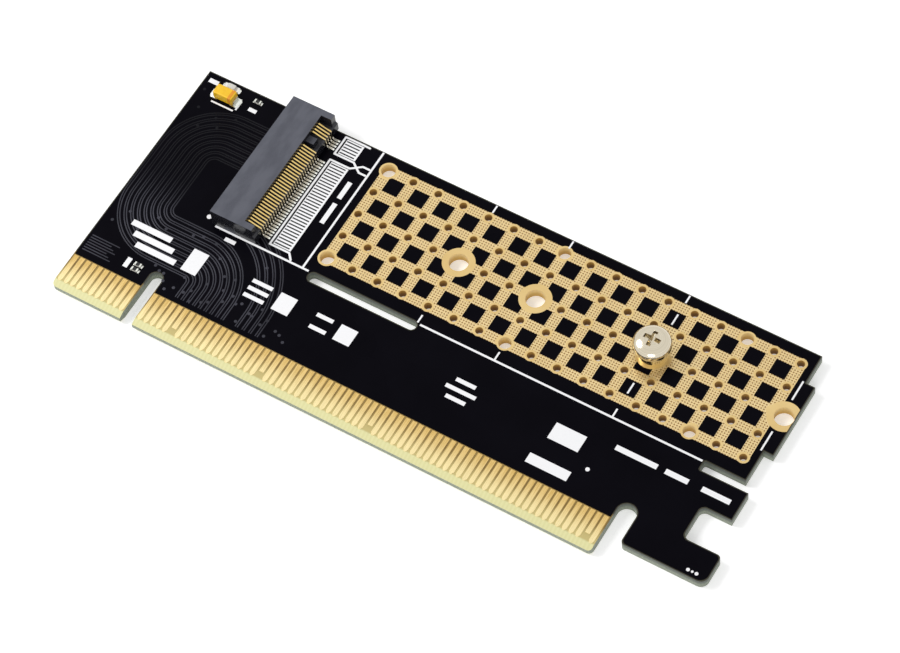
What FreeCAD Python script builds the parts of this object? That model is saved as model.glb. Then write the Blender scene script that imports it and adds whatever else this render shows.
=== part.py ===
# Adapter card for a slim memory module: a card that plugs into a long expansion slot, with the
# module's socket, its perforated gold heat field, a stand-off with its screw and a few small parts.
#
# Millimetres. The card lies flat, component side up.
#   X  along the contact edge, from the key notch towards the hook
#   Y  from the inserted edge of the card towards its upper edge
#   Z  out of the component side
# Origin: on the centre line of the key notch, at the inserted edge, on the underside.

import FreeCAD, Part
import math
import os
import re

import Sketcher

Vector = FreeCAD.Vector

SIZES = (
    # the bare card
    ("board_thick", 1.57, "card, mask to mask"),
    ("layer_thick", 0.035, "copper or mask layer on one face"),
    ("mask_margin", 0.15, "laminate left bare along the routed outline"),
    ("board_left", 12.1, "key centre to the short end"),
    ("board_depth", 39.83, "inserted edge to the upper edge"),
    ("key_width", 1.95, "key notch"),
    ("key_depth", 8.45, "key notch, to the top of its round"),
    ("edge_end", 72.1, "key centre to the end of the contact tongue"),
    ("gap_width", 2.76, "gap between tongue and hook"),
    ("gap_depth", 8.39, "inserted edge to the top of the gap"),
    ("hook_bottom", 2.85, "inserted edge to the foot of the hook"),
    ("hook_top", 7.45, "inserted edge to the top of the hook nose"),
    ("hook_right", 87.25, "key centre to the tip of the hook"),
    ("catch_left", 81.5, "key centre to the back wall of the catch notch"),
    ("catch_top", 12.62, "inserted edge to the top of the catch notch"),
    ("shelf_right", 85.9, "key centre to the end of the lower strip"),
    ("route_y", 17.87, "inserted edge to the line of the routed slots"),
    ("route_width", 1.5, "routed slots"),
    ("route_left", 18.0, "key centre to the start of the middle slot"),
    ("route_right", 35.05, "key centre to the end of the middle slot"),
    ("split_left", 78.6, "key centre to the start of the open slot"),
    ("field_right", 84.7, "key centre to the end of the module strip"),
    ("tab_right", 86.1, "key centre to the end of the tab"),
    ("tab_low", 23.55, "inserted edge to the lower side of the tab"),
    ("tab_high", 35.2, "inserted edge to the upper side of the tab"),
    ("corner_round", 0.6, "outer corners"),
    ("hook_round", 1.2, "nose of the hook"),
    ("catch_round", 0.95, "inner corners of the catch notch"),
    ("split_round", 0.4, "inner corners of the open slot"),
    ("bevel_length", 0.95, "lead-in bevel along the card"),
    ("bevel_depth", 0.35, "lead-in bevel into the thickness"),
    # edge contacts
    ("finger_pitch", 1.0, "edge contacts"),
    ("finger_width", 0.7, "edge contact"),
    ("finger_top", 5.42, "inserted edge to the upper end of a contact"),
    ("finger_tip", 0.3, "width of a contact at its lower end"),
    ("finger_taper", 0.4, "length over which a contact narrows"),
    ("finger_start", 1.5, "key centre to the nearest contact"),
    ("finger_count_left", 11, "contacts on the short side of the key"),
    ("finger_count_right", 71, "contacts on the long side of the key"),
    ("short_end", 2.05, "inserted edge to the lower end of a short contact"),
    ("window_gap", 0.13, "contact end to the edge of the mask"),
    # gold heat field
    ("field_x", 18.784, "key centre to the first column"),
    ("field_y", 37.45, "inserted edge to the top row"),
    ("field_pitch", 4.0, "columns and rows"),
    ("field_columns", 17, "columns"),
    ("field_rows", 5, "rows"),
    ("band_width", 1.6, "gold band"),
    ("via_ring", 1.8, "gold ring round a via"),
    ("via_hole", 1.1, "via, finished"),
    ("plating", 0.05, "copper wall in a plated hole"),
    ("post_ring_end", 2.65, "ring of the large holes at the socket end"),
    ("post_hole_end", 2.05, "large holes at the socket end"),
    ("post_ring", 2.35, "ring of the other large holes"),
    ("post_hole", 1.8, "other large holes"),
    ("post_step", 7, "columns from one large hole to the next"),
    # seats for the module's screw, from the module's reference edge
    ("module_edge", 4.87, "key centre to the reference edge of a module"),
    ("seat_30", 30.0, "seat of the shortest module"),
    ("seat_42", 42.0, "seat of the second module length"),
    ("seat_60", 60.0, "seat of the third module length"),
    ("seat_80", 79.73, "seat of the longest module"),
    ("seat_ring", 4.6, "gold ring of a seat"),
    ("seat_hole", 2.75, "hole of a seat"),
    # module socket
    ("socket_y", 29.36, "inserted edge to the middle of the socket"),
    ("socket_length", 21.5, "socket along the card's depth"),
    ("socket_height", 3.2, "socket above the card"),
    ("socket_back", 2.05, "key centre to the back of the socket"),
    ("roof_front", 7.15, "key centre to the front of the roof"),
    ("arm_front", 8.75, "key centre to the front of the end arms"),
    ("foot_front", 9.05, "key centre to the front of the foot"),
    ("foot_height", 1.35, "foot of the socket"),
    ("rim_height", 1.5, "comb along the front of the foot"),
    ("rim_thick", 0.25, "comb along the front of the foot"),
    ("roof_thick", 0.65, "roof of the socket"),
    ("arm_width", 0.95, "end arm"),
    ("stop_gap", 0.07, "module edge to the stop in the socket"),
    ("web_offset", 6.125, "socket middle to the key web"),
    ("web_width", 1.1, "key web"),
    ("web_front", 8.4, "key centre to the front of the key web"),
    ("web_height", 2.4, "key web above the card"),
    ("contact_pitch", 0.5, "contacts of one row"),
    ("contact_width", 0.2, "contact"),
    ("contact_thick", 0.1, "sheet that the contacts are cut from"),
    ("contact_reach", 9.25, "socket middle to the outermost contact"),
    ("comb_width", 0.3, "channel for a contact"),
    ("groove_depth", 0.4, "channel of an upper contact"),
    ("groove_end", 0.25, "roof left closed in front of an upper channel"),
    ("upper_long", 29, "upper contacts beyond the key web"),
    ("upper_short", 5, "upper contacts before the key web"),
    ("lower_long", 29, "lower contacts beyond the key web"),
    ("lower_short", 4, "lower contacts before the key web"),
    ("tail_front", 10.15, "key centre to the tip of a lower tail"),
    ("tail_back", 1.2, "key centre to the tip of an upper tail"),
    ("pad_side", 0.2, "solder pad beyond the tail it carries"),
    ("tab_x", 4.9, "key centre to the middle of an anchor tab"),
    ("tab_width", 1.8, "anchor tab"),
    ("tab_height", 1.3, "anchor tab"),
    ("tab_thick", 0.15, "anchor tab"),
    # stand-off and screw
    ("standoff_width", 4.0, "stand-off"),
    ("standoff_height", 1.5, "stand-off above the card"),
    ("spigot_gap", 0.06, "stand-off's spigot to its hole, all round"),
    ("thread_width", 2.0, "screw thread"),
    ("thread_gap", 0.03, "thread to its bore, all round"),
    ("thread_length", 1.6, "screw thread inside the stand-off"),
    ("module_room", 0.85, "stand-off to the screw head, for the module"),
    ("head_width", 5.3, "screw head"),
    ("head_height", 1.9, "screw head"),
    ("head_flank", 0.9, "straight side of the screw head"),
    ("recess_span", 2.4, "cross recess, tip to tip"),
    ("recess_wing", 0.6, "cross recess, width of a wing"),
    ("recess_depth", 1.1, "cross recess"),
    ("recess_shrink", 0.55, "cross recess at its floor, share of its mouth"),
    # capacitor
    ("cap_x", -7.6, "key centre to the capacitor"),
    ("cap_y", 37.0, "inserted edge to the capacitor"),
    ("cap_length", 3.2, "capacitor"),
    ("cap_width", 1.7, "capacitor"),
    ("cap_height", 1.5, "capacitor above its terminals"),
    ("cap_bevel", 0.22, "upper end edges of the capacitor"),
    ("band_offset", 1.1, "capacitor middle to its polarity band"),
    ("band_length", 0.45, "polarity band"),
    ("ink_thick", 0.015, "print"),
    ("lug_width", 1.2, "capacitor terminal"),
    ("lug_thick", 0.12, "capacitor terminal"),
    ("lug_height", 0.8, "capacitor terminal up the end"),
    ("lug_length", 0.8, "capacitor terminal under the body"),
    ("lug_reach", 0.35, "capacitor terminal beyond the end"),
    # light-emitting diode
    ("led_x", -7.75, "key centre to the diode"),
    ("led_y", 38.75, "inserted edge to the diode"),
    ("led_length", 2.3, "diode"),
    ("led_width", 0.8, "diode"),
    ("led_base", 0.25, "base plate of the diode"),
    ("lens_length", 1.3, "lens of the diode"),
    ("lens_height", 0.35, "lens of the diode"),
    # chip resistors
    ("chip_length", 1.0, "chip resistor"),
    ("chip_width", 0.5, "chip resistor"),
    ("chip_height", 0.32, "ceramic of a chip resistor"),
    ("chip_cap", 0.22, "end cap of a chip resistor"),
    ("chip_skin", 0.03, "end cap and glaze thickness"),
    ("chip_top_x", -3.2, "key centre to the upper resistor"),
    ("chip_top_y", 38.45, "inserted edge to the upper resistor"),
    ("chip_low_x", -3.2, "key centre to the lower resistors"),
    ("chip_low_y", 7.23, "inserted edge to the lowest resistor"),
    ("chip_row", 0.84, "from one lower resistor to the next"),
    # printed legend
    ("line_width", 0.3, "printed line"),
    ("border_x", 16.68, "key centre to the upright border line"),
    ("border_y", 18.44, "inserted edge to the long border line"),
    ("border_start", 2.6, "key centre to the start of the long border line"),
    ("border_end", 78.4, "key centre to the end of the long border line"),
    ("tick_width", 0.25, "module length tick"),
    ("tick_length", 1.3, "module length tick at the card's edges"),
    ("comb_x", 11.1, "key centre to the contact ladders"),
    ("ladder_width", 2.75, "contact ladder"),
    ("rung_width", 0.2, "dark rung of a contact ladder"),
    ("rung_side", 0.2, "ladder's edge to the end of a rung"),
    ("bracket_x", 10.7, "key centre to the brackets round the ladders"),
    ("bracket_side", 0.25, "ladder to the bracket's arm"),
)

TOP = "board_thick"
CORE_TOP = "(board_thick - layer_thick)"
SPLIT_LOW = "(route_y - route_width / 2)"
SPLIT_HIGH = "(route_y + route_width / 2)"
GAP_X = "(edge_end + gap_width / 2)"
WINDOW_TOP = "(finger_top + window_gap)"
FIELD_END = "(field_x + (field_columns - 1) * field_pitch)"
FIELD_LOW = "(field_y - (field_rows - 1) * field_pitch)"
SEATS = tuple(f"(module_edge + {name})" for name in ("seat_30", "seat_42", "seat_60", "seat_80"))
SCREW_X = SEATS[2]
VIA_DRILL = "(via_hole + 2 * plating)"
BEYOND = "1"  # how far a cutting tool stands past what it cuts

doc = FreeCAD.newDocument("AdapterCard")
sheet = doc.addObject("Spreadsheet::Sheet", "Sizes")
for row, (name, number, meaning) in enumerate(SIZES, 1):
    sheet.set(f"A{row}", name)
    sheet.set(f"B{row}", str(number))
    sheet.set(f"C{row}", meaning)
    sheet.setAlias(f"B{row}", name)
doc.recompute()

KNOWN = {name for name, _, _ in SIZES}


def cells(text):
    """The expression with every size name pointed at its cell of the sheet."""
    return re.sub(r"[a-z]\w*", lambda word: ("Sizes." if word[0] in KNOWN else "") + word[0], text)


def value(text):
    """What an expression comes to with the sheet as it is."""
    return float(sheet.evalExpression(cells(text)))


def bind(thing, **texts):
    """Tie properties of an object to expressions over the sheet."""
    for name, text in texts.items():
        thing.setExpression(name, cells(text))


def place(thing, x="0", y="0", z="0"):
    """Tie an object's place to expressions over the sheet."""
    for axis, text in zip("xyz", (x, y, z)):
        thing.setExpression(f"Placement.Base.{axis}", cells(text))


# ---------------------------------------------------------------- bodies, sketches and features


def new_body(label):
    """An empty body; its label names the node."""
    owner = doc.addObject("PartDesign::Body", label)
    owner.Label = label
    return owner


def origin_part(owner, role):
    """One of the body's own origin planes or axes."""
    return next(part for part in owner.Origin.OriginFeatures if part.Role == role)


def new_sketch(owner, lift="0", role="XY_Plane"):
    """A sketch on one of the body's origin planes, lifted along that plane's normal."""
    flat = owner.newObject("Sketcher::SketchObject", owner.Label + "_sketch")
    flat.AttachmentSupport = (origin_part(owner, role), [""])
    flat.MapMode = "FlatFace"
    flat.setExpression("AttachmentOffset.Base.z", cells(lift))
    return flat


def fix(flat, kind, geometry, text, vertex=None):
    """A driving constraint whose value is an expression over the sheet."""
    where = (geometry,) if vertex is None else (geometry, vertex)
    index = flat.addConstraint(Sketcher.Constraint(kind, *where, value(text)))
    flat.setExpression(f"Constraints[{index}]", cells(text))


def polygon(flat, corners):
    """A closed outline with straight sides through corners given as pairs of expressions."""
    points = [Vector(value(x), value(y), 0) for x, y in corners]
    ends = points[1:] + points[:1]
    sides = [flat.addGeometry(Part.LineSegment(a, b), False) for a, b in zip(points, ends)]
    for side, following in zip(sides, sides[1:] + sides[:1]):
        flat.addConstraint(Sketcher.Constraint("Coincident", side, 2, following, 1))
    for side, (x, y) in zip(sides, corners):
        fix(flat, "DistanceX", side, x, 1)
        fix(flat, "DistanceY", side, y, 1)


def rectangle(flat, x, y, length, width):
    """A rectangle from its middle and its two sides."""
    low_x, high_x = f"{x} - ({length}) / 2", f"{x} + ({length}) / 2"
    low_y, high_y = f"{y} - ({width}) / 2", f"{y} + ({width}) / 2"
    polygon(flat, ((low_x, low_y), (high_x, low_y), (high_x, high_y), (low_x, high_y)))


def circle(flat, x, y, width):
    """A circle from its middle and its diameter."""
    middle = Vector(value(x), value(y), 0)
    ring = flat.addGeometry(Part.Circle(middle, Vector(0, 0, 1), value(width) / 2), False)
    fix(flat, "DistanceX", ring, x, 3)
    fix(flat, "DistanceY", ring, y, 3)
    fix(flat, "Diameter", ring, width)


def obround(flat, start, end, width):
    """A slot with round ends between two middles given as pairs of expressions."""
    a, b = (Vector(value(x), value(y), 0) for x, y in (start, end))
    radius = value(width) / 2
    along = (b - a).normalize()
    side = Vector(-along.y, along.x, 0)
    turn = math.atan2(side.y, side.x)
    up = Vector(0, 0, 1)
    right = flat.addGeometry(Part.LineSegment(a - side * radius, b - side * radius), False)
    far = flat.addGeometry(Part.ArcOfCircle(Part.Circle(b, up, radius), turn - math.pi, turn), False)
    left = flat.addGeometry(Part.LineSegment(b + side * radius, a + side * radius), False)
    near = flat.addGeometry(Part.ArcOfCircle(Part.Circle(a, up, radius), turn, turn + math.pi), False)
    for first, last in ((right, far), (far, left), (left, near), (near, right)):
        flat.addConstraint(Sketcher.Constraint("Tangent", first, 2, last, 1))
    flat.addConstraint(Sketcher.Constraint("Equal", near, far))
    fix(flat, "Radius", near, f"({width}) / 2")
    for arc, (x, y) in ((near, start), (far, end)):
        fix(flat, "DistanceX", arc, x, 3)
        fix(flat, "DistanceY", arc, y, 3)


def extrude(owner, flat, length, kind="Pad", centred=False, upwards=True):
    """Pad or pocket a sketch; upwards is along the sketch plane's normal."""
    feature = owner.newObject(f"PartDesign::{kind}", f"{owner.Label}_{kind}")
    feature.Profile = flat
    bind(feature, Length=length)
    feature.SideType = "Symmetric" if centred else "One side"
    feature.Reversed = upwards if kind == "Pocket" else not upwards
    owner.Tip = feature
    return feature


def pattern(
    owner, feature, axis, step, count, axis_2=None, step_2="1", count_2="1", down=False, down_2=False
):
    """Repeat a feature along one or two of the body's axes."""
    rows = owner.newObject("PartDesign::LinearPattern", owner.Label + "_pattern")
    rows.Originals = [feature]
    rows.Direction = (origin_part(owner, axis), [""])
    rows.Mode = "Spacing"
    rows.Reversed = down
    bind(rows, Occurrences=count, Offset=step)
    if axis_2:
        rows.Direction2 = (origin_part(owner, axis_2), [""])
        rows.Mode2 = "Spacing"
        rows.Reversed2 = down_2
        bind(rows, Occurrences2=count_2, Offset2=step_2)
        rows.Occurrences2 = round(value(count_2))
        rows.Spacings2 = [-1.0] * (round(value(count_2)) - 1)
    owner.Tip = rows
    return rows


def round_uprights(owner, spots, radius):
    """Round the upright edges that stand at the given places."""
    doc.recompute()
    base = owner.Tip
    wanted = [Vector(value(x), value(y), 0) for x, y in spots]
    names = []
    for index, edge in enumerate(base.Shape.Edges, 1):
        low, high = edge.Vertexes[0].Point, edge.Vertexes[-1].Point
        foot = Vector(low.x, low.y, 0)
        upright = math.hypot(low.x - high.x, low.y - high.y) < 1e-6 < abs(low.z - high.z)
        if upright and any(foot.distanceToPoint(spot) < 1e-4 for spot in wanted):
            names.append(f"Edge{index}")
    feature = owner.newObject("PartDesign::Fillet", owner.Label + "_round")
    feature.Base = (base, names)
    bind(feature, Radius=radius)
    owner.Tip = feature


# ---------------------------------------------------------------- primitives and booleans


def box(label, x, y, z, length, width, height):
    """A box from its lowest corner and its three sides."""
    block = doc.addObject("Part::Box", label)
    bind(block, Length=length, Width=width, Height=height)
    place(block, x, y, z)
    return block


def bar(label, x, y, z, length, width, height):
    """A box from the middle of its underside and its three sides."""
    return box(label, f"{x} - ({length}) / 2", f"{y} - ({width}) / 2", z, length, width, height)


def rod(label, x, y, z, width, height):
    """An upright cylinder from the middle of its foot, its diameter and its height."""
    post = doc.addObject("Part::Cylinder", label)
    bind(post, Radius=f"({width}) / 2", Height=height)
    place(post, x, y, z)
    return post


def cut(label, base, tool):
    """The base without the tool."""
    result = doc.addObject("Part::Cut", label)
    result.Label = label
    result.Base = base
    result.Tool = tool
    return result


def fuse(label, parts):
    """Several shapes as one object, merged where they meet."""
    result = doc.addObject("Part::MultiFuse", label)
    result.Label = label
    result.Shapes = parts
    return result


def group(label, parts):
    """Several separate solids as one object."""
    result = doc.addObject("Part::Compound", label)
    result.Label = label
    result.Links = parts
    return result


def underside(label, source):
    """The mirror image of a layer on the other face of the card."""
    result = doc.addObject("Part::Mirroring", label)
    result.Label = label
    result.Source = source
    result.Normal = Vector(0, 0, 1)
    result.setExpression("Base.z", cells("board_thick / 2"))
    return result


# ---------------------------------------------------------------- the bare card


def outline(edge):
    """Corners of the routed outline, drawn in from it by edge."""
    return (
        (f"{edge} - board_left", edge),
        (GAP_X, edge),
        (GAP_X, f"hook_bottom + {edge}"),
        (f"hook_right - {edge}", f"hook_bottom + {edge}"),
        (f"hook_right - {edge}", f"hook_top - {edge}"),
        (f"catch_left - {edge}", f"hook_top - {edge}"),
        (f"catch_left - {edge}", f"catch_top + {edge}"),
        (f"shelf_right - {edge}", f"catch_top + {edge}"),
        (f"shelf_right - {edge}", f"{SPLIT_LOW} - {edge}"),
        (f"split_left - {edge}", f"{SPLIT_LOW} - {edge}"),
        (f"split_left - {edge}", f"{SPLIT_HIGH} + {edge}"),
        (f"field_right - {edge}", f"{SPLIT_HIGH} + {edge}"),
        (f"field_right - {edge}", f"tab_low + {edge}"),
        (f"tab_right - {edge}", f"tab_low + {edge}"),
        (f"tab_right - {edge}", f"tab_high - {edge}"),
        (f"field_right - {edge}", f"tab_high - {edge}"),
        (f"field_right - {edge}", f"board_depth - {edge}"),
        (f"{edge} - board_left", f"board_depth - {edge}"),
    )


def plate(label, edge, low, thick):
    """A flat plate with the card's outline and notches, drawn in from them by edge."""
    owner = new_body(label)
    corners = outline(edge)
    flat = new_sketch(owner, low)
    polygon(flat, corners)
    extrude(owner, flat, thick)

    slots = new_sketch(owner, low)
    key_end, gap_end = "key_depth - key_width / 2", "gap_depth - gap_width / 2"
    start, end = f"route_left + route_width / 2", f"route_right - route_width / 2"
    obround(slots, ("0", "-key_width"), ("0", key_end), f"key_width + 2 * {edge}")
    obround(slots, (GAP_X, "-gap_width"), (GAP_X, gap_end), f"gap_width + 2 * {edge}")
    obround(slots, (start, "route_y"), (end, "route_y"), f"route_width + 2 * {edge}")
    extrude(owner, slots, thick, "Pocket")

    tongue_end = (f"edge_end - {edge}", edge)
    hook_start = (f"edge_end + gap_width + {edge}", f"hook_bottom + {edge}")
    round_uprights(owner, (corners[0], corners[4], tongue_end, hook_start), "corner_round")
    round_uprights(owner, (corners[3],), "hook_round")
    round_uprights(owner, (corners[5], corners[6]), "catch_round")
    round_uprights(owner, (corners[9], corners[10]), "split_round")
    return owner


def bevel(owner):
    """Cut the lead-in bevels along the inserted edge, on both faces."""
    foot = f"{CORE_TOP} - bevel_depth"
    flat = new_sketch(owner, role="YZ_Plane")
    upper = (("0", foot), ("bevel_length", CORE_TOP), ("bevel_length", "board_thick"), ("0", "board_thick"))
    polygon(flat, upper)
    head = "layer_thick + bevel_depth"
    lower = (("0", head), ("0", "0"), ("bevel_length", "0"), ("bevel_length", "layer_thick"))
    polygon(flat, lower)
    extrude(owner, flat, "4 * edge_end", "Pocket", centred=True)


def via_field(label, width, low, high, bore=None):
    """Cylinders at every via of the gold field; with a bore they are sleeves."""
    owner = new_body(label)
    second_row, third_row = "(field_y - field_pitch)", "(field_y - 2 * field_pitch)"

    def stud(column, row):
        flat = new_sketch(owner, low)
        x = f"field_x + {column} * field_pitch"
        circle(flat, x, row, width)
        if bore:
            circle(flat, x, row, bore)
        return extrude(owner, flat, f"{high} - {low}")

    inner = ("Y_Axis", "2 * field_pitch", "2")
    pattern(owner, stud(0, second_row), "X_Axis", "field_pitch", "field_columns", *inner, down_2=True)
    # the outer rows leave out the large holes, one every post_step columns
    outer = ("Y_Axis", f"field_y - {FIELD_LOW}", "2")
    columns, step = round(value("field_columns")), round(value("post_step"))
    for first in range(1, columns, step):
        count = str(min(step - 1, columns - first))
        pattern(owner, stud(first, "field_y"), "X_Axis", "field_pitch", count, *outer, down_2=True)
    # the third row leaves out the vias that a module seat takes up
    for column, count in ((0, 4), (5, 2), (8, 3), (13, 3)):
        pattern(owner, stud(column, third_row), "X_Axis", "field_pitch", str(count))
    return owner


def large_holes(label, grow, low, high):
    """Cylinders in the large holes of the field and the module seats, wider by grow."""
    thick = f"{high} - {low}"
    studs = []
    for row in ("field_y", FIELD_LOW):
        studs.append(rod(label + "_end", "field_x", row, low, f"post_hole_end + {grow}", thick))
        for step in (1, 2):
            x = f"field_x + {step} * post_step * field_pitch"
            studs.append(rod(label + "_post", x, row, low, f"post_hole + {grow}", thick))
    for x in SEATS:
        studs.append(rod(label + "_seat", x, "socket_y", low, f"seat_hole + {grow}", thick))
    return group(label, studs)


ISLAND = "(field_pitch - band_width)"
MIDDLE_X = f"(({FIELD_END} + field_x) / 2)"
MIDDLE_Y = f"(({FIELD_LOW} + field_y) / 2)"


def field_frame(owner, kind):
    """The gold field's outer shape, as a pad or a pocket, with its far corners rounded."""
    flat = new_sketch(owner, CORE_TOP)
    length = f"{FIELD_END} - field_x + band_width"
    rectangle(flat, MIDDLE_X, MIDDLE_Y, length, f"field_y - {FIELD_LOW} + band_width")
    extrude(owner, flat, "layer_thick", kind)
    corner = f"{FIELD_END} + band_width / 2"
    spots = ((corner, "field_y + band_width / 2"), (corner, f"{FIELD_LOW} - band_width / 2"))
    round_uprights(owner, spots, "band_width / 2")


def field_islands(owner, kind):
    """The squares between the gold bands."""
    flat = new_sketch(owner, CORE_TOP)
    rectangle(flat, "field_x + field_pitch / 2", "field_y - field_pitch / 2", ISLAND, ISLAND)
    square = extrude(owner, flat, "layer_thick", kind)
    pattern(owner, square, "X_Axis", "field_pitch", "field_columns - 1",
            "Y_Axis", "field_pitch", "field_rows - 1", down_2=True)


def field_rings(owner, kind):
    """The rings of the outermost vias, the large holes and the module seats."""
    flat = new_sketch(owner, CORE_TOP)
    circle(flat, "field_x", "field_y", "via_ring")
    ring = extrude(owner, flat, "layer_thick", kind)
    height = "(field_rows - 1) * field_pitch"
    pattern(owner, ring, "X_Axis", "field_pitch", "field_columns", "Y_Axis", height, "2", down_2=True)
    rings = new_sketch(owner, CORE_TOP)
    for y in ("field_y", FIELD_LOW):
        circle(rings, "field_x", y, "post_ring_end")
        for step in (1, 2):
            circle(rings, f"field_x + {step} * post_step * field_pitch", y, "post_ring")
    for x in SEATS:
        circle(rings, x, "socket_y", "seat_ring")
    extrude(owner, rings, "layer_thick", kind)


def gold_field():
    """The gold bands and rings of one face, before they are drilled."""
    owner = new_body("gold_field_blank")
    field_frame(owner, "Pad")
    field_islands(owner, "Pocket")
    field_rings(owner, "Pad")
    beyond = new_sketch(owner, CORE_TOP)
    edge = "tab_right - mask_margin"
    rectangle(beyond, f"{edge} + seat_ring / 2", "socket_y", "seat_ring", "2 * seat_ring")
    extrude(owner, beyond, "layer_thick", "Pocket")
    return owner


def mask_plan():
    """The mask of one face, with its openings for the gold field and the edge contacts."""
    owner = plate("mask_plan", "mask_margin", CORE_TOP, "layer_thick")
    field_frame(owner, "Pocket")
    field_islands(owner, "Pad")
    field_rings(owner, "Pocket")
    window = new_sketch(owner, CORE_TOP)
    left, right = "-board_left - mask_margin", GAP_X
    low = "-mask_margin"
    polygon(window, ((left, low), (right, low), (right, WINDOW_TOP), (left, WINDOW_TOP)))
    extrude(owner, window, "layer_thick", "Pocket")
    return owner


def edge_contacts():
    """Both runs of edge contacts on the component side, all at full length."""
    owner = new_body("edge_contacts_blank")
    first_left = "(-finger_start - (finger_count_left - 1) * finger_pitch)"
    for x, count in ((first_left, "finger_count_left"), ("finger_start", "finger_count_right")):
        flat = new_sketch(owner, CORE_TOP)
        half, tip = "finger_width / 2", "finger_tip / 2"
        shoulder = "bevel_length + finger_taper"
        polygon(flat, (
            (f"{x} - {tip}", "bevel_length"), (f"{x} + {tip}", "bevel_length"),
            (f"{x} + {half}", shoulder), (f"{x} + {half}", "finger_top"),
            (f"{x} - {half}", "finger_top"), (f"{x} - {half}", shoulder),
        ))
        pattern(owner, extrude(owner, flat, "layer_thick"), "X_Axis", "finger_pitch", count)
    return owner


def shorten(label, contacts, places, low):
    """Cut the lower end off the contacts at the given places, counted from the first on the long side."""
    tools = [
        bar(label + "_trim", f"finger_start + {index} * finger_pitch", "short_end / 2", low,
            "finger_pitch", "short_end", "layer_thick")
        for index in places
    ]
    return cut(label, contacts, group(label + "_trims", tools))


# ---------------------------------------------------------------- module socket


def contact_runs(long_count, short_count, reach):
    """First contact and number of contacts for the runs on either side of the key web."""
    return (
        (f"socket_y - {reach}", long_count),
        (f"socket_y + {reach} - ({short_count} - 1) * contact_pitch", short_count),
    )


UPPER_RUNS = contact_runs("upper_long", "upper_short", "contact_reach")
LOWER_RUNS = contact_runs("lower_long", "lower_short", "(contact_reach - contact_pitch / 2)")


def above(height):
    """A height above the card's upper face."""
    return f"board_thick + {height}"


def side_profile(owner, y, points, width, kind="Pad"):
    """Extrude a side view in X and Z, by width along Y, about the plane at y."""
    flat = new_sketch(owner, f"-({y})", "XZ_Plane")
    polygon(flat, [(x, above(z)) for x, z in points])
    return extrude(owner, flat, width, kind, centred=True)


def socket_channels():
    """What the contacts take out of the housing: the comb in front, risers behind, grooves above."""
    owner = new_body("socket_channels")
    comb, front = "foot_front - rim_thick", f"foot_front + {BEYOND}"
    back, groove = f"socket_back - {BEYOND}", "roof_front - groove_end"
    floor, roof_low = f"-{BEYOND}", "socket_height - roof_thick"
    for first, count in LOWER_RUNS:
        channel = side_profile(owner, first, (
            (comb, floor), (front, floor), (front, f"rim_height + {BEYOND}"), (comb, f"rim_height + {BEYOND}"),
        ), "comb_width")
        pattern(owner, channel, "Y_Axis", "contact_pitch", count)
    for first, count in UPPER_RUNS:
        channel = side_profile(owner, first, (
            (back, floor), ("socket_back + groove_depth", floor), ("socket_back + groove_depth", roof_low),
            (groove, roof_low), (groove, f"{roof_low} + groove_depth"), (back, f"{roof_low} + groove_depth"),
        ), "comb_width")
        pattern(owner, channel, "Y_Axis", "contact_pitch", count)
    return owner


def socket_block():
    """The moulded housing before its channels: foot, roof, end arms and key web."""
    owner = new_body("socket_block")
    stop = "module_edge - stop_gap"
    roof_low = "socket_height - roof_thick"
    inside = "socket_length - 2 * arm_width"

    side_profile(owner, "socket_y", (
        ("socket_back", "0"), ("foot_front", "0"), ("foot_front", "rim_height"),
        ("foot_front - rim_thick", "rim_height"), ("foot_front - rim_thick", "foot_height"),
        (stop, "foot_height"), (stop, roof_low), ("roof_front", roof_low),
        ("roof_front", "socket_height"), ("socket_back", "socket_height"),
    ), inside)
    for sign in ("-", "+"):
        side_profile(owner, f"socket_y {sign} (socket_length - arm_width) / 2", (
            ("socket_back", "0"), ("foot_front", "0"), ("foot_front", "foot_height"),
            ("arm_front", "foot_height + foot_front - arm_front"), ("arm_front", "socket_height"),
            ("socket_back", "socket_height"),
        ), "arm_width")
    side_profile(owner, "socket_y + web_offset", (
        (stop, "foot_height"), ("web_front", "foot_height"), ("web_front", "web_height"),
        ("roof_front", "web_height"), ("roof_front", roof_low), (stop, roof_low),
    ), "web_width")

    seats = new_sketch(owner, TOP)
    for sign in ("-", "+"):
        rectangle(seats, "tab_x", f"socket_y {sign} (socket_length - tab_thick) / 2", "tab_width", "tab_thick")
    extrude(owner, seats, "tab_height", "Pocket")
    return owner


def lower_contacts():
    """Spring contacts of the front row: tail on the card, riser in the comb, beam into the slot."""
    owner = new_body("socket_contacts_lower")
    out, sheet_thick = "foot_front", "contact_thick"
    profile = (
        ("tail_front", "0"), ("tail_front", sheet_thick), (f"{out} + 0.27", sheet_thick),
        (f"{out} + 0.15", "0.25"), (f"{out} + 0.06", "rim_height + 0.02"),
        (f"{out} - 0.05", "rim_height + 0.12"), (f"{out} - 0.75", "rim_height + 0.32"),
        (f"{out} - 1.95", "rim_height + 0.74"), (f"{out} - 2.6", "rim_height + 0.86"),
        (f"{out} - 3.0", "rim_height + 0.72"), (f"{out} - 2.95", "rim_height + 0.62"),
        (f"{out} - 2.6", "rim_height + 0.75"), (f"{out} - 1.98", "rim_height + 0.64"),
        (f"{out} - 0.75", "rim_height + 0.21"), (f"{out} - 0.12", "rim_height + 0.02"),
        (f"{out} - 0.05", "rim_height - 0.1"), (f"{out} + 0.04", "0.2"), (f"{out} + 0.2", "0"),
    )
    for first, count in LOWER_RUNS:
        contact = side_profile(owner, first, profile, "contact_width")
        pattern(owner, contact, "Y_Axis", "contact_pitch", count)
    return owner


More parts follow.
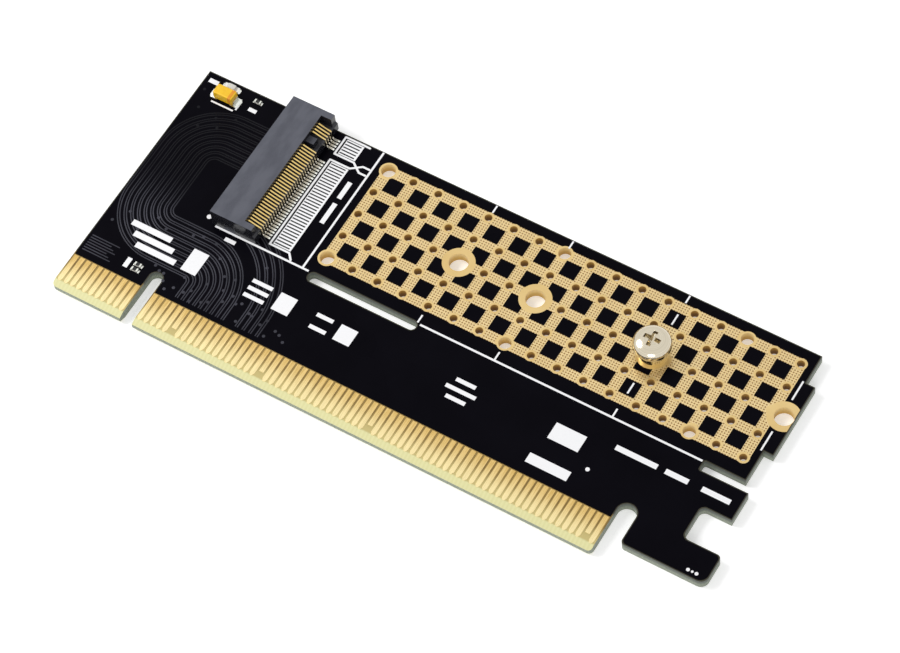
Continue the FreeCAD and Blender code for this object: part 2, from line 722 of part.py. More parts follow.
def upper_contacts():
    """Spring contacts of the back row: tail behind the socket, riser in its channel, beam under the roof."""
    owner = new_body("socket_contacts_upper")
    back, roof = "socket_back", "socket_height - roof_thick"
    profile = (
        ("tail_back", "0"), (f"{back} + 0.25", "0"), (f"{back} + 0.25", f"{roof} + 0.1"),
        ("roof_front - 1.5", f"{roof} + 0.1"), ("roof_front - 1.0", f"{roof} - 0.15"),
        ("roof_front - 0.4", f"{roof} + 0.05"), ("roof_front - 0.4", f"{roof} + 0.15"),
        ("roof_front - 1.0", f"{roof} - 0.04"), ("roof_front - 1.46", f"{roof} + 0.2"),
        (f"{back} + 0.15", f"{roof} + 0.2"), (f"{back} + 0.15", "contact_thick"),
        ("tail_back", "contact_thick"),
    )
    for first, count in UPPER_RUNS:
        contact = side_profile(owner, first, profile, "contact_width")
        pattern(owner, contact, "Y_Axis", "contact_pitch", count)
    return owner


def anchor_tabs():
    """Metal tabs let into the ends of the housing."""
    return group("socket_anchor_tabs", [
        bar("anchor_tab", "tab_x", f"socket_y {sign} (socket_length - tab_thick) / 2", TOP,
            "tab_width", "tab_thick", "tab_height")
        for sign in ("-", "+")
    ])


# ---------------------------------------------------------------- stand-off and screw


def standoff():
    """Round stand-off on the gold ring, with a spigot down through the card and a threaded bore."""
    owner = new_body("standoff")
    flat = new_sketch(owner, TOP)
    circle(flat, SCREW_X, "socket_y", "standoff_width")
    extrude(owner, flat, "standoff_height")
    spigot = new_sketch(owner, "layer_thick")
    circle(spigot, SCREW_X, "socket_y", "seat_hole - 2 * spigot_gap")
    extrude(owner, spigot, "board_thick - layer_thick")
    bore = new_sketch(owner, "layer_thick")
    circle(bore, SCREW_X, "socket_y", "thread_width + 2 * thread_gap")
    extrude(owner, bore, "board_thick + standoff_height", "Pocket")
    return owner


def cross(flat, span, wing):
    """A cross of two equal bars about the screw's axis."""
    far, near = f"({span}) / 2", f"({wing}) / 2"
    steps = ((far, near), (near, near), (near, far))
    quarter = {
        (1, 1): steps, (-1, 1): steps[::-1], (-1, -1): steps, (1, -1): steps[::-1],
    }
    corners = []
    for (side_x, side_y), points in quarter.items():
        corners += [(f"{SCREW_X} + {side_x} * {x}", f"socket_y + {side_y} * {y}") for x, y in points]
    polygon(flat, corners)


def screw():
    """Pan-head screw that holds the module's free end: turned profile with a cross recess."""
    owner = new_body("retaining_screw")
    head_low = above("standoff_height + module_room")
    head_top = f"{head_low} + head_height"
    flat = new_sketch(owner, "-socket_y", "XZ_Plane")
    right, crown = f"{SCREW_X} + head_width / 2", f"{SCREW_X} + head_width / 4"
    shank = f"{SCREW_X} + thread_width / 2"
    polygon(flat, (
        (SCREW_X, above("standoff_height - thread_length")), (shank, above("standoff_height - thread_length")),
        (shank, head_low), (right, head_low), (right, f"{head_low} + head_flank"),
        (f"{right} - 0.12", f"{head_low} + head_flank + 0.4"),
        (f"{right} - 0.45", f"{head_top} - 0.28"), (f"{right} - 0.9", f"{head_top} - 0.08"),
        (crown, head_top), (SCREW_X, head_top),
    ))
    axis = flat.addGeometry(Part.LineSegment(Vector(value(SCREW_X), 0, 0), Vector(value(SCREW_X), 1, 0)), True)
    fix(flat, "DistanceX", axis, SCREW_X, 1)
    fix(flat, "DistanceY", axis, "0", 1)
    flat.addConstraint(Sketcher.Constraint("Vertical", axis))
    fix(flat, "DistanceY", axis, "1", 2)
    turned = owner.newObject("PartDesign::Revolution", "retaining_screw_turned")
    turned.Profile = flat
    turned.ReferenceAxis = (flat, ["Axis0"])
    turned.Angle = 360
    owner.Tip = turned

    mouth = new_sketch(owner, head_top)
    cross(mouth, "recess_span", "recess_wing")
    floor = new_sketch(owner, f"{head_top} - recess_depth")
    cross(floor, "recess_span * recess_shrink", "recess_wing * recess_shrink")
    recess = owner.newObject("PartDesign::SubtractiveLoft", "retaining_screw_recess")
    recess.Profile = mouth
    recess.Sections = [floor]
    recess.Ruled = True
    owner.Tip = recess
    return owner


# ---------------------------------------------------------------- small parts

LUG_TOP = "(board_thick + lug_thick)"


def capacitor_body():
    """Moulded block of the capacitor, with its upper end edges bevelled."""
    owner = new_body("capacitor_body")
    flat = new_sketch(owner, "-cap_y", "XZ_Plane")
    left, right = "cap_x - cap_length / 2", "cap_x + cap_length / 2"
    top = f"{LUG_TOP} + cap_height"
    polygon(flat, (
        (left, LUG_TOP), (right, LUG_TOP), (right, f"{top} - cap_bevel"), (f"{right} - cap_bevel", top),
        (f"{left} + cap_bevel", top), (left, f"{top} - cap_bevel"),
    ))
    extrude(owner, flat, "cap_width", centred=True)
    return owner


def capacitor_band():
    """Printed polarity band across the top of the capacitor."""
    top = f"{LUG_TOP} + cap_height"
    band = bar("capacitor_band", "cap_x + band_offset", "cap_y", top, "band_length", "cap_width", "ink_thick")
    return band


def capacitor_terminals():
    """Folded terminals: a foot under each end and a lug up its face."""
    parts = []
    for sign, low in (("-", "lug_thick"), ("+", "0")):
        end = f"cap_x {sign} cap_length / 2"
        foot_length = "lug_length + lug_reach"
        foot_x = f"{end} {sign} (lug_reach - ({foot_length}) / 2)"
        foot = bar("cap_foot", foot_x, "cap_y", TOP, foot_length, "lug_width", "lug_thick")
        lug = box("cap_lug", f"{end} - {low}", "cap_y - lug_width / 2", TOP, "lug_thick", "lug_width", "lug_height")
        parts.append(fuse("cap_terminal", [foot, lug]))
    return group("capacitor_terminals", parts)


def diode_base():
    """White base plate of the diode."""
    return bar("led_base", "led_x", "led_y", TOP, "led_length", "led_width", "led_base")


def diode_lens():
    """Clear lens moulded on the middle of the diode."""
    owner = new_body("led_lens")
    flat = new_sketch(owner, "-led_y", "XZ_Plane")
    low, top = above("led_base"), above("led_base + lens_height")
    polygon(flat, (
        ("led_x - lens_length / 2", low), ("led_x + lens_length / 2", low),
        ("led_x + lens_length / 2 - 0.1", top), ("led_x - lens_length / 2 + 0.1", top),
    ))
    extrude(owner, flat, "led_width", centred=True)
    return owner


CHIPS = (
    ("chip_top_x", "chip_top_y"),
    ("chip_low_x", "chip_low_y"),
    ("chip_low_x", "chip_low_y + chip_row"),
)


def chip_resistors():
    """Ceramic blocks, dark glaze and metal end caps of the chip resistors."""
    blocks, glazes, caps = [], [], []
    for x, y in CHIPS:
        low = above("chip_skin")
        blocks.append(bar("chip", x, y, low, "chip_length - 2 * chip_skin", "chip_width", "chip_height"))
        between = "chip_length - 2 * chip_cap"
        glazes.append(bar("glaze", x, y, f"{low} + chip_height", between, "chip_width", "chip_skin"))
        for sign in ("-", "+"):
            middle = f"{x} {sign} (chip_length - chip_cap) / 2"
            shell = bar("cap", middle, y, TOP, "chip_cap", "chip_width", "chip_height + 2 * chip_skin")
            caps.append(cut("end_cap", shell, blocks[-1]))
    return (group("resistor_blocks", blocks), group("resistor_glaze", glazes), group("resistor_caps", caps))


def solder_pads():
    """Solder lands under the socket's tails and the small parts, before the mask is laid round them."""
    owner = new_body("solder_lands")
    front = ("foot_front + 0.15", "tail_front + pad_side", LOWER_RUNS)
    back = ("tail_back - pad_side", "socket_back + 0.3", UPPER_RUNS)
    for low_x, high_x, runs in (front, back):
        for first, count in runs:
            flat = new_sketch(owner, CORE_TOP)
            rectangle(flat, f"({low_x} + {high_x}) / 2", first, f"{high_x} - ({low_x})", "comb_width")
            pattern(owner, extrude(owner, flat, "layer_thick"), "Y_Axis", "contact_pitch", count)

    flat = new_sketch(owner, CORE_TOP)
    for sign in ("-", "+"):
        lug_pad = ("lug_length + 2 * pad_side", "lug_width + 2 * pad_side")
        rectangle(flat, f"cap_x {sign} (cap_length / 2)", "cap_y", *lug_pad)
        rectangle(flat, f"led_x {sign} (led_length / 2)", "led_y", "2 * pad_side", "led_width")
        for x, y in CHIPS:
            middle = f"{x} {sign} (chip_length - chip_cap) / 2"
            rectangle(flat, middle, y, "chip_cap + 2 * pad_side", "chip_width")
    extrude(owner, flat, "layer_thick")
    return owner


# ---------------------------------------------------------------- printed legend

EDGE_LOW = "mask_margin"
EDGE_HIGH = "(board_depth - mask_margin)"


def ink(label, x, y, length, width):
    """A printed bar from its middle and its two sides."""
    return bar(label, x, y, TOP, length, width, "ink_thick")


def ink_span(label, start, end):
    """A straight printed line between two places that share their X or their Y."""
    (x_1, y_1), (x_2, y_2) = start, end
    if x_1 == x_2:
        return ink(label, x_1, f"({y_1} + {y_2}) / 2", "line_width", f"{y_2} - ({y_1})")
    return ink(label, f"({x_1} + {x_2}) / 2", y_1, f"{x_2} - ({x_1})", "line_width")


def legend_border():
    """Lines that mark off the module strip of the card, broken at the routed slot."""
    clear = "2 * mask_margin"
    upright = ink_span("border", ("border_x", "border_y"), ("border_x", EDGE_HIGH))
    left = ink_span("border", ("border_start", "border_y"), (f"route_left - {clear}", "border_y"))
    right = ink_span("border", (f"route_right + {clear}", "border_y"), ("border_end", "border_y"))
    return fuse("legend_border", [upright, left, right])


def legend_ticks():
    """Ticks that mark the four module lengths across the strip."""
    low, high = "border_y + line_width / 2", EDGE_HIGH
    parts = []
    for x in SEATS[:3]:
        parts.append(ink("tick", x, f"{high} - tick_length / 2", "tick_width", "tick_length"))
        parts.append(ink("tick", x, f"{low} + tick_length / 2", "tick_width", "tick_length"))
    between = "field_pitch - band_width - 2 * line_width"
    for row in ("0.5", "3.5"):
        parts.append(ink("tick", SCREW_X, f"field_y - {row} * field_pitch", "tick_width", between))
    for sign in ("-", "+"):
        y = f"socket_y {sign} (seat_ring / 2 + 2)"
        parts.append(ink("tick", "field_right - mask_margin - tick_width", y, "tick_width", "3.2"))
    return group("legend_ticks", parts)


LADDERS = (
    ("socket_y + contact_reach - 2 * contact_pitch + 0.25", "upper_short"),
    ("socket_y - contact_pitch * 4 + 0.05", "upper_long + 1"),
)


def legend_ladders():
    """Printed ladders with one dark rung for each contact of the upper row."""
    owner = new_body("legend_ladders")
    for middle, count in LADDERS:
        flat = new_sketch(owner, TOP)
        rectangle(flat, "comb_x + ladder_width / 2", middle, "ladder_width", f"({count}) * contact_pitch + 0.1")
        extrude(owner, flat, "ink_thick")
        rung = new_sketch(owner, TOP)
        first = f"{middle} - (({count}) - 1) * contact_pitch / 2"
        rung_x = "comb_x + ladder_width / 2 - rung_side / 2"
        rectangle(rung, rung_x, first, "ladder_width - 2 * rung_side", "rung_width")
        pattern(owner, extrude(owner, rung, "ink_thick", "Pocket"), "Y_Axis", "contact_pitch", count)
    return owner


def stroke(points):
    """A printed line of even width with round ends and corners along a list of points."""
    half = value("line_width") / 2
    thick = Vector(0, 0, value("ink_thick"))
    pieces = [Part.makeCylinder(half, thick.z, point) for point in points]
    for start, end in zip(points, points[1:]):
        along = (end - start).normalize()
        side = Vector(-along.y, along.x, 0) * half
        corners = [start - side, end - side, end + side, start + side, start - side]
        pieces.append(Part.Face(Part.makePolygon(corners)).extrude(thick))
    return pieces[0].fuse(pieces[1:]).removeSplitter()


def legend_brackets():
    """Brackets round the two ladders, whose arms cross over towards the strip's border line."""
    left, arm = value("bracket_x"), value("comb_x + ladder_width")
    end, level = value("border_x - line_width"), value(TOP)
    strokes = []
    edges = []
    for middle, count in LADDERS:
        reach = value(f"(({count}) * contact_pitch + 0.1) / 2 + bracket_side")
        edges.append((value(middle) - reach, value(middle) + reach))
    (upper_low, upper_high), (lower_low, lower_high) = edges
    flare = value("3 * bracket_side")
    strokes.append([(arm, upper_low), (left, upper_low), (left, upper_high), (arm, upper_high),
                    (arm + flare, value(EDGE_HIGH + " - line_width"))])
    strokes.append([(arm, lower_high), (left, lower_high), (left, lower_low), (arm, lower_low),
                    (arm + flare, value("border_y + line_width"))])
    strokes.append([(arm, upper_low), (arm + 2 * flare, lower_high), (end, lower_high)])
    strokes.append([(arm, lower_high), (arm + 2 * flare, upper_low), (end, upper_low)])
    shapes = [stroke([Vector(x, y, level) for x, y in points]) for points in strokes]
    feature = doc.addObject("Part::Feature", "legend_brackets")
    feature.Shape = shapes[0].fuse(shapes[1:]).removeSplitter()
    feature.Placement = FreeCAD.Placement()
    return feature


def legend_dots():
    """Printed dots: the first contact, a count mark and a row of three."""
    dots = [
        rod("dot", "socket_back - 1.0", "socket_y - socket_length / 2 + 0.7", TOP, "0.7", "ink_thick"),
        rod("dot", f"{SCREW_X} + 1.03", "catch_top - 2.47", TOP, "0.6", "ink_thick"),
    ]
    for step, width in ((-0.62, 0.5), (0, 0.35), (0.62, 0.5)):
        x = f"hook_right - 2.25 + {step}"
        dots.append(rod("dot", x, "hook_bottom + 0.85", TOP, str(width), "ink_thick"))
    return group("legend_dots", dots)


# Plain marks that stand where a maker prints its own: middle X, middle Y, length, width.
MARKS = (
    (-4.6, 13.6, 6.4, 0.9), (-3.4, 12.2, 6.4, 0.9), (-2.2, 10.8, 6.4, 0.9), (3.3, 12.2, 2.4, 3.7),
    (13.4, 13.6, 3.2, 0.6), (13.4, 12.4, 3.2, 0.6), (13.4, 11.2, 3.2, 0.6), (17.6, 12.4, 2.6, 2.9),
    (23.6, 13.2, 2.6, 0.6), (23.6, 11.2, 2.6, 0.6), (27.4, 12.2, 2.6, 2.6),
    (45.4, 12.2, 4.6, 0.6), (45.4, 13.6, 3.0, 0.6), (45.4, 10.8, 3.0, 0.6),
    (61.2, 13.0, 4.6, 2.6), (61.2, 8.0, 6.2, 1.5),
    (70.6, 14.8, 6.2, 0.8), (76.6, 14.8, 3.4, 0.8), (82.4, 14.8, 4.2, 0.8),
    (15.15, 31.8, 0.7, 3.0), (15.15, 27.6, 0.7, 3.6),
    (-7.4, 35.6, 3.6, 0.25), (-5.35, 36.5, 0.25, 1.2), (-10.6, 38.5, 1.5, 0.7),
    (-3.2, 36.95, 1.3, 0.6), (5.7, 17.35, 1.7, 0.6), (-4.8, 7.8, 0.7, 1.6),
)


def legend_marks():
    """Generic printed blocks and bars."""
    return group("legend_marks", [ink("mark", *(f"({number})" for number in mark)) for mark in MARKS])


# ---------------------------------------------------------------- the whole card


def build():
    """Make every sub-part and return those that are written, by node name."""
    through_low, through = f"-{BEYOND}", f"board_thick + {BEYOND}"

    recess = underside("recess", plate("recess_plan", "mask_margin", CORE_TOP, "layer_thick"))
    core = plate("laminate_blank", "0", "0", CORE_TOP)
    bevel(core)
    via_drills = via_field("via_drills", VIA_DRILL, through_low, through)
    via_bores = via_field("via_bores", "via_hole", through_low, through)
    large_drills = large_holes("large_drills", "2 * plating", through_low, through)
    large_bores = large_holes("large_bores", "0", through_low, through)
    tools = group("drills", [recess, via_drills, large_drills])
    laminate = cut("laminate", core, tools)

    field_front = cut("gold_field_front", gold_field(), group("bores", [via_bores, large_bores]))
    lands = solder_pads()
    mask = mask_plan()
    mask_front = cut("solder_mask_front", mask, lands)
    mask_back = underside("solder_mask_back", mask)

    sleeve_low, sleeve_high = "layer_thick", CORE_TOP
    via_barrels = via_field("via_barrels", VIA_DRILL, sleeve_low, sleeve_high, "via_hole")
    large_sleeves = large_holes("large_sleeves", "2 * plating", sleeve_low, sleeve_high)
    large_sleeves = cut("plated_hole_barrels", large_sleeves, large_bores)

    contacts = edge_contacts()
    contacts_back = underside("edge_contacts_mirrored", contacts)
    first_left = "-(2 * finger_start + (finger_count_left - 1) * finger_pitch) / finger_pitch"
    blocks, glaze, caps = chip_resistors()
    nodes = (
        laminate,
        mask_front,
        mask_back,
        field_front,
        underside("gold_field_back", field_front),
        via_barrels,
        large_sleeves,
        shorten("edge_contacts_front", contacts, (5, 19, 36, 69), CORE_TOP),
        shorten("edge_contacts_back", contacts_back, (first_left,), "0"),
        lands,
        cut("socket_housing", socket_block(), socket_channels()),
        lower_contacts(),
        upper_contacts(),
        anchor_tabs(),
        standoff(),
        screw(),
        capacitor_body(),
        capacitor_band(),
        capacitor_terminals(),
        diode_base(),
        diode_lens(),
        blocks,
        glaze,
        caps,
        legend_border(),
        legend_ticks(),
        legend_ladders(),
        legend_brackets(),
        legend_dots(),
        legend_marks(),
    )
    return {node.Label: node for node in nodes}


def check(nodes):
    """Stop if any object of the document failed or any sub-part is empty or not valid."""
    failed = [thing.Label for thing in doc.Objects if {"Invalid", "Error"} & set(thing.State)]
    failed += [label for label, node in nodes.items() if node.Shape.isNull() or not node.Shape.isValid()]
    if failed:
        raise RuntimeError("these did not build: " + ", ".join(failed))


nodes = build()
doc.recompute()
check(nodes)
os.makedirs("parts", exist_ok=True)
for label, node in nodes.items():
    node.Shape.exportStep(f"parts/{label}.step")
    print(f"{label}: {len(node.Shape.Solids)} solids, {node.Shape.Volume:.3f} mm3")
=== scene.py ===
# %% [markdown]
# # A drive adapter card, dressed
#
# The card is a printed circuit board with a black solder mask, a socket for a small storage module,
# a gold-plated cooling field and a row of gold contacts along one edge. The CAD model holds every
# solid at its real size. This lesson gives those solids their finishes, adds the fine shapes that
# CAD left plain (copper relief, solder, moulded edges, the screw) and sets up the studio.

# %% Load the CAD model
import math

import bpy
import numpy as np
from mathutils import Matrix, Vector


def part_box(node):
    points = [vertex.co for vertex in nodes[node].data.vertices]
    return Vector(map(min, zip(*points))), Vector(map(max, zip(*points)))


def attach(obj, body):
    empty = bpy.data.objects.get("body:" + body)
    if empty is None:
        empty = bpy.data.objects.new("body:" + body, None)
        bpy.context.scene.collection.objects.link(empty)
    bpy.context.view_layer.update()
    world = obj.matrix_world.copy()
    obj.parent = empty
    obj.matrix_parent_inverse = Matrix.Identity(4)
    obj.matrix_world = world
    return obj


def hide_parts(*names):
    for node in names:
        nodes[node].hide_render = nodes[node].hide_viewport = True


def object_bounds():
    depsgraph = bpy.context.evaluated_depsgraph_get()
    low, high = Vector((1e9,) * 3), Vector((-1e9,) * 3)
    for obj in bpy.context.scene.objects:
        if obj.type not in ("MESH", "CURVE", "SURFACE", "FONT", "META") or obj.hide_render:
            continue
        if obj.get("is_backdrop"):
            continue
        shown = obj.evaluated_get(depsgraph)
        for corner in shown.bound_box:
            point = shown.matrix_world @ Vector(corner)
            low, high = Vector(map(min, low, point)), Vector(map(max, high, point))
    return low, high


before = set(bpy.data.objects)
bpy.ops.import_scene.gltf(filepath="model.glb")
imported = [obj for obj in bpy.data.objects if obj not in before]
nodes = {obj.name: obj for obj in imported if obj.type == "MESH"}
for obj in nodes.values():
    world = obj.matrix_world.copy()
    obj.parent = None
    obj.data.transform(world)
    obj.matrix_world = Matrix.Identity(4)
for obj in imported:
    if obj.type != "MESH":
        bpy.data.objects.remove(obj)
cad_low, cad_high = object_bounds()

MM = 0.001
print("nodes:", len(nodes), "box in mm:", [round(v / MM, 2) for v in (*cad_low, *cad_high)])


def corners(node):
    """The lowest and highest corners of a CAD node as arrays, in millimetres."""
    low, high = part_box(node)
    return np.array(low) / MM, np.array(high) / MM


# %% [markdown]
# ## Camera
#
# A product shot from above and in front, with a long lens from about half a metre, which keeps the
# card's edges almost parallel. A camera can be turned by angles, by a tracking constraint or by a
# matrix. The matrix is chosen because it also holds the small roll of a hand-held camera: its
# columns are the picture's right, its up and the way back to the camera.

# %% Camera
AZIMUTH, ELEVATION, ROLL = math.radians(35.34), math.radians(59.10), math.radians(-5.775)
TARGET = Vector((46.212, 24.055, 1.57)) * MM
DISTANCE = 464.05 * MM

back = Vector((
    math.cos(ELEVATION) * math.sin(AZIMUTH), -math.cos(ELEVATION) * math.cos(AZIMUTH), math.sin(ELEVATION),
))
level = Vector((math.cos(AZIMUTH), math.sin(AZIMUTH), 0))
right = level * math.cos(ROLL) + back.cross(level) * math.sin(ROLL)
turn = Matrix((right, back.cross(right), back)).transposed()

lens = bpy.data.cameras.new("camera")
lens.lens, lens.sensor_width, lens.shift_x = 138.99, 36, -0.06797
lens.clip_start, lens.clip_end = 0.01, 10
camera = bpy.data.objects.new("camera", lens)
camera.matrix_world = Matrix.Translation(TARGET + back * DISTANCE) @ turn.to_4x4()
bpy.context.scene.collection.objects.link(camera)
bpy.context.scene.camera = camera
print("camera at", [round(v / MM, 1) for v in camera.matrix_world.translation], "mm")

# %% [markdown]
# ## Tools for materials
#
# Every finish is made of shader nodes, so that it stays sharp at any distance and needs no picture
# file. Three small tools are enough: one turns a hex colour into the linear numbers that Blender
# reckons with, one adds a node, and one starts a material with the place on the card in millimetres,
# so that each pattern's scale is a real size.

# %% Tools for materials


def linear(code):
    """An sRGB hex colour as linear red, green, blue and alpha."""
    part = np.array([int(code[i:i + 2], 16) for i in (1, 3, 5)]) / 255
    part = np.where(part <= 0.04045, part / 12.92, ((part + 0.055) / 1.055) ** 2.4)
    return (*part.tolist(), 1.0)


def add(tree, kind, sockets, **settings):
    """Adds a node. Each socket gets a number, or a link from a socket or another node's first output."""
    node = tree.nodes.new(kind)
    for name, setting in settings.items():
        setattr(node, name, setting)
    shown = [s for s in node.inputs if s.enabled]
    for key, source in sockets.items():
        socket = shown[key] if isinstance(key, int) else next(s for s in shown if s.name == key)
        if isinstance(source, bpy.types.Node):
            source = next(s for s in source.outputs if s.enabled)
        if isinstance(source, bpy.types.NodeSocket):
            tree.links.new(source, socket)
        else:
            socket.default_value = source
    return node


def start_material(name, constants):
    """A material with one Principled shader, and the Object coordinates in millimetres as its place."""
    material = bpy.data.materials.new(name)
    material.use_nodes = True
    tree = material.node_tree
    shader = tree.nodes["Principled BSDF"]
    for socket, number in constants.items():
        shader.inputs[socket].default_value = number
    spot = add(tree, "ShaderNodeTexCoord", {})
    place = add(tree, "ShaderNodeVectorMath", {0: spot.outputs["Object"], "Scale": 1 / MM}, operation="SCALE")
    return material, tree, shader, place


def drive(tree, shader, socket, source):
    """Links a node's first output to one of the shader's sockets."""
    tree.links.new(next(s for s in source.outputs if s.enabled), shader.inputs[socket])


def span(tree, source, start, end, low=0.0, high=1.0):
    """A ramp: low where source is at start, high where it is at end, smooth between and flat beyond."""
    return add(tree, "ShaderNodeMapRange", {
        "Value": source, "From Min": start, "From Max": end, "To Min": low, "To Max": high,
    }, interpolation_type="SMOOTHSTEP")


def blend_of(tree, factor, first, second):
    """A colour between two: the first where factor is 0, the second where it is 1."""
    return add(tree, "ShaderNodeMix", {"Factor": factor, "A": first, "B": second}, data_type="RGBA")


def grain(tree, place, size, stretch=(1, 1, 1), detail=2.0):
    """Noise from 0 to 1 whose spots are about size millimetres across, stretched along an axis if asked."""
    rate = [1 / (size * share) for share in stretch]
    scaled = add(tree, "ShaderNodeVectorMath", {0: place, 1: rate}, operation="MULTIPLY")
    return add(tree, "ShaderNodeTexNoise", {"Vector": scaled, "Scale": 1.0, "Detail": detail})


def dent(tree, shader, height, depth):
    """Bump: the surface rises by depth millimetres where height is 1."""
    bump = add(tree, "ShaderNodeBump", {"Height": height, "Distance": depth * MM, "Strength": 1.0})
    drive(tree, shader, "Normal", bump)


def dress(material, *names):
    """Gives a CAD node its finish."""
    for name in names:
        nodes[name].data.materials.clear()
        nodes[name].data.materials.append(material)


# %% [markdown]
# ## Glass-epoxy laminate
#
# The card is woven glass cloth pressed in epoxy (FR-4). It shows bare in three places: along the
# routed outline, where the plies lie in thin grey-green layers that darken towards the mask, on the
# ground bevel of the inserted edge, which is pale yellow, and between the gold contacts, where the mask
# is left off and the resin looks olive brown. One material tells the three apart by which way the
# surface faces and how far it is from the inserted edge, because they are cut from the same board.

# %% Glass-epoxy laminate
PLY = 0.19                       # one pressed ply of glass cloth, mm
BEVEL = 0.95                     # length of the ground lead-in, mm
WEAVE = 0.55                     # pitch of the yarns in the cloth, mm
WALL_SHADE = (0.5, 1.3)          # heights between which a routed wall darkens, mm
MASK_EDGE = (5.8, 6.2)           # from the inserted edge: bare laminate ends and mask starts, mm
ROW_END = corners("edge_contacts_front")[1][0] + 0.6

laminate_finish, tree, shader, place = start_material(
    "glass_epoxy_laminate", {"Roughness": 0.5, "IOR": 1.55, "Specular IOR Level": 0.4})
facing = add(tree, "ShaderNodeNewGeometry", {})
upright = add(tree, "ShaderNodeSeparateXYZ", {"Vector": facing.outputs["Normal"]})
axes = add(tree, "ShaderNodeSeparateXYZ", {"Vector": place})
flatness = add(tree, "ShaderNodeMath", {0: upright.outputs["Z"]}, operation="ABSOLUTE")
layers = add(tree, "ShaderNodeMath", {0: axes.outputs["Z"], 1: 2 * math.pi / PLY}, operation="MULTIPLY")
layers = add(tree, "ShaderNodeMath", {0: layers}, operation="SINE")
wall = blend_of(tree, span(tree, layers, -0.6, 0.7), linear("#6C7466"), linear("#B2BAA6"))
wall = blend_of(tree, span(tree, grain(tree, place, 0.3), 0.35, 0.7, 0, 0.35), wall, linear("#575E50"))
yarn = add(tree, "ShaderNodeTexWave", {"Vector": place, "Scale": 0.314 / WEAVE, "Distortion": 0.6},
           wave_type="BANDS", bands_direction="X")
bare = blend_of(tree, yarn, linear("#7C6228"), linear("#94793A"))
ground = blend_of(tree, yarn, linear("#D8D49A"), linear("#DEDAA2"))
near_edge = span(tree, axes.outputs["Y"], BEVEL + 0.25, BEVEL - 0.05)
bare = blend_of(tree, span(tree, axes.outputs["Y"], 4.2, BEVEL + 0.3), bare, linear("#C9B878"))
past_row = span(tree, axes.outputs["X"], ROW_END, ROW_END + 0.4)
beyond = add(tree, "ShaderNodeMath", {0: span(tree, axes.outputs["Y"], *MASK_EDGE), 1: past_row},
             operation="MAXIMUM")
bare = blend_of(tree, beyond, bare, linear("#2E2B16"))
shaded = span(tree, axes.outputs["Z"], *WALL_SHADE, 0, 0.8)
shaded = add(tree, "ShaderNodeMath", {0: shaded, 1: beyond}, operation="MULTIPLY")
wall = blend_of(tree, shaded, wall, linear("#39403E"))
level_tint = blend_of(tree, near_edge, bare, ground)
tint = blend_of(tree, span(tree, flatness, 0.4, 0.6), wall, level_tint)
drive(tree, shader, "Base Color", tint)
dent(tree, shader, yarn, 0.001)
dress(laminate_finish, "laminate")

# %% [markdown]
# ## Black solder mask
#
# Solder mask is a light-cured epoxy ink, screened on in a layer a few hundredths of a millimetre
# thick. It levels itself, so it is glossy, with a faint orange peel, and black pigment leaves almost
# no colour. Over copper it looks a touch lighter than over bare laminate. Near the contacts the mask
# over copper is also given a much lighter tone, a painted highlight on its ridges, and this fades
# further in. The reflection is kept low, because black ink soaks up nearly all of the soft light.

# %% Black solder mask
# Over copper, the lighter tone that fades between these distances is a painted highlight.
FADE_START, FADE_END = 15, 23    # from the inserted edge: where the lighter tone starts and ends to fade, mm


def mask_material(name, dark, light, faint, gloss):
    """Black mask mottled from a dark tone to a light one, which fades to a faint one further in. A light tone
    far above the dark one is a painted highlight.
    """
    material, tree, shader, place = start_material(
        name, {"Roughness": 0.3, "IOR": 1.5, "Specular IOR Level": gloss})
    cloud = grain(tree, place, 6.0, detail=3.0)
    axes = add(tree, "ShaderNodeSeparateXYZ", {"Vector": place})
    tone = blend_of(tree, span(tree, axes.outputs["Y"], FADE_START, FADE_END), linear(light), linear(faint))
    drive(tree, shader, "Base Color", blend_of(tree, cloud, linear(dark), tone))
    drive(tree, shader, "Roughness", span(tree, cloud, 0.3, 0.7, 0.24, 0.36))
    dent(tree, shader, grain(tree, place, 0.9), 0.004)
    return material


mask_finish = mask_material("solder_mask_over_laminate", "#040308", "#08070E", "#08070E", 0.03)
# Over copper the light tone is a painted highlight. The faint tone further in is partly the mask's own
# lighter look over copper and partly painted highlight.
highlit_copper_mask_finish = mask_material("solder_mask_over_copper_painted_highlight", "#08070C", "#54545E", "#16161C", 0.1)
dress(mask_finish, "solder_mask_front", "solder_mask_back")

# %% [markdown]
# ## Gold-plated cooling field
#
# Under the module lies a copper lattice plated with a very thin layer of gold over nickel (immersion
# gold). The copper is etched with a mesh of tiny round holes, 0.4 mm apart, which show the brown
# laminate. Round the through holes the copper is solid. A hole is a place where the distance to the
# nearest point of a square lattice is under its radius, so two or three nodes of arithmetic draw
# thousands of them, and other distances keep them away from the rings.

# %% Gold-plated cooling field
MESH_PITCH, MESH_HOLE, MESH_HIGHLIGHT_RIM = 0.40, 0.135, 0.18      # mm
MESH_START = (18.944, 37.45)                              # one mesh hole, mm
VIA_PITCH, VIA_START, VIA_CLEAR = 4.0, (18.784, 37.45), 0.87
SEAT_RINGS = [(x, 29.36, 2.36) for x in (34.87, 46.87, 64.87, 84.6)]
WIDE_RINGS = [(18.784, y, 1.5) for y in (37.45, 21.45)]
WIDE_RINGS += [(x, y, 1.35) for x in (46.784, 74.784) for y in (37.45, 21.45)]


def lattice_distance(tree, flat, start, pitch):
    """Distance to the nearest point of a square lattice: the offset from one point, wrapped into half a
    pitch each way, and its length."""
    offset = add(tree, "ShaderNodeVectorMath", {0: flat, 1: (*start, 0)}, operation="SUBTRACT")
    near = add(tree, "ShaderNodeVectorMath", {
        0: offset, 1: (pitch / 2, pitch / 2, 1), 2: (-pitch / 2, -pitch / 2, -1)}, operation="WRAP")
    return add(tree, "ShaderNodeVectorMath", {0: near}, operation="LENGTH")


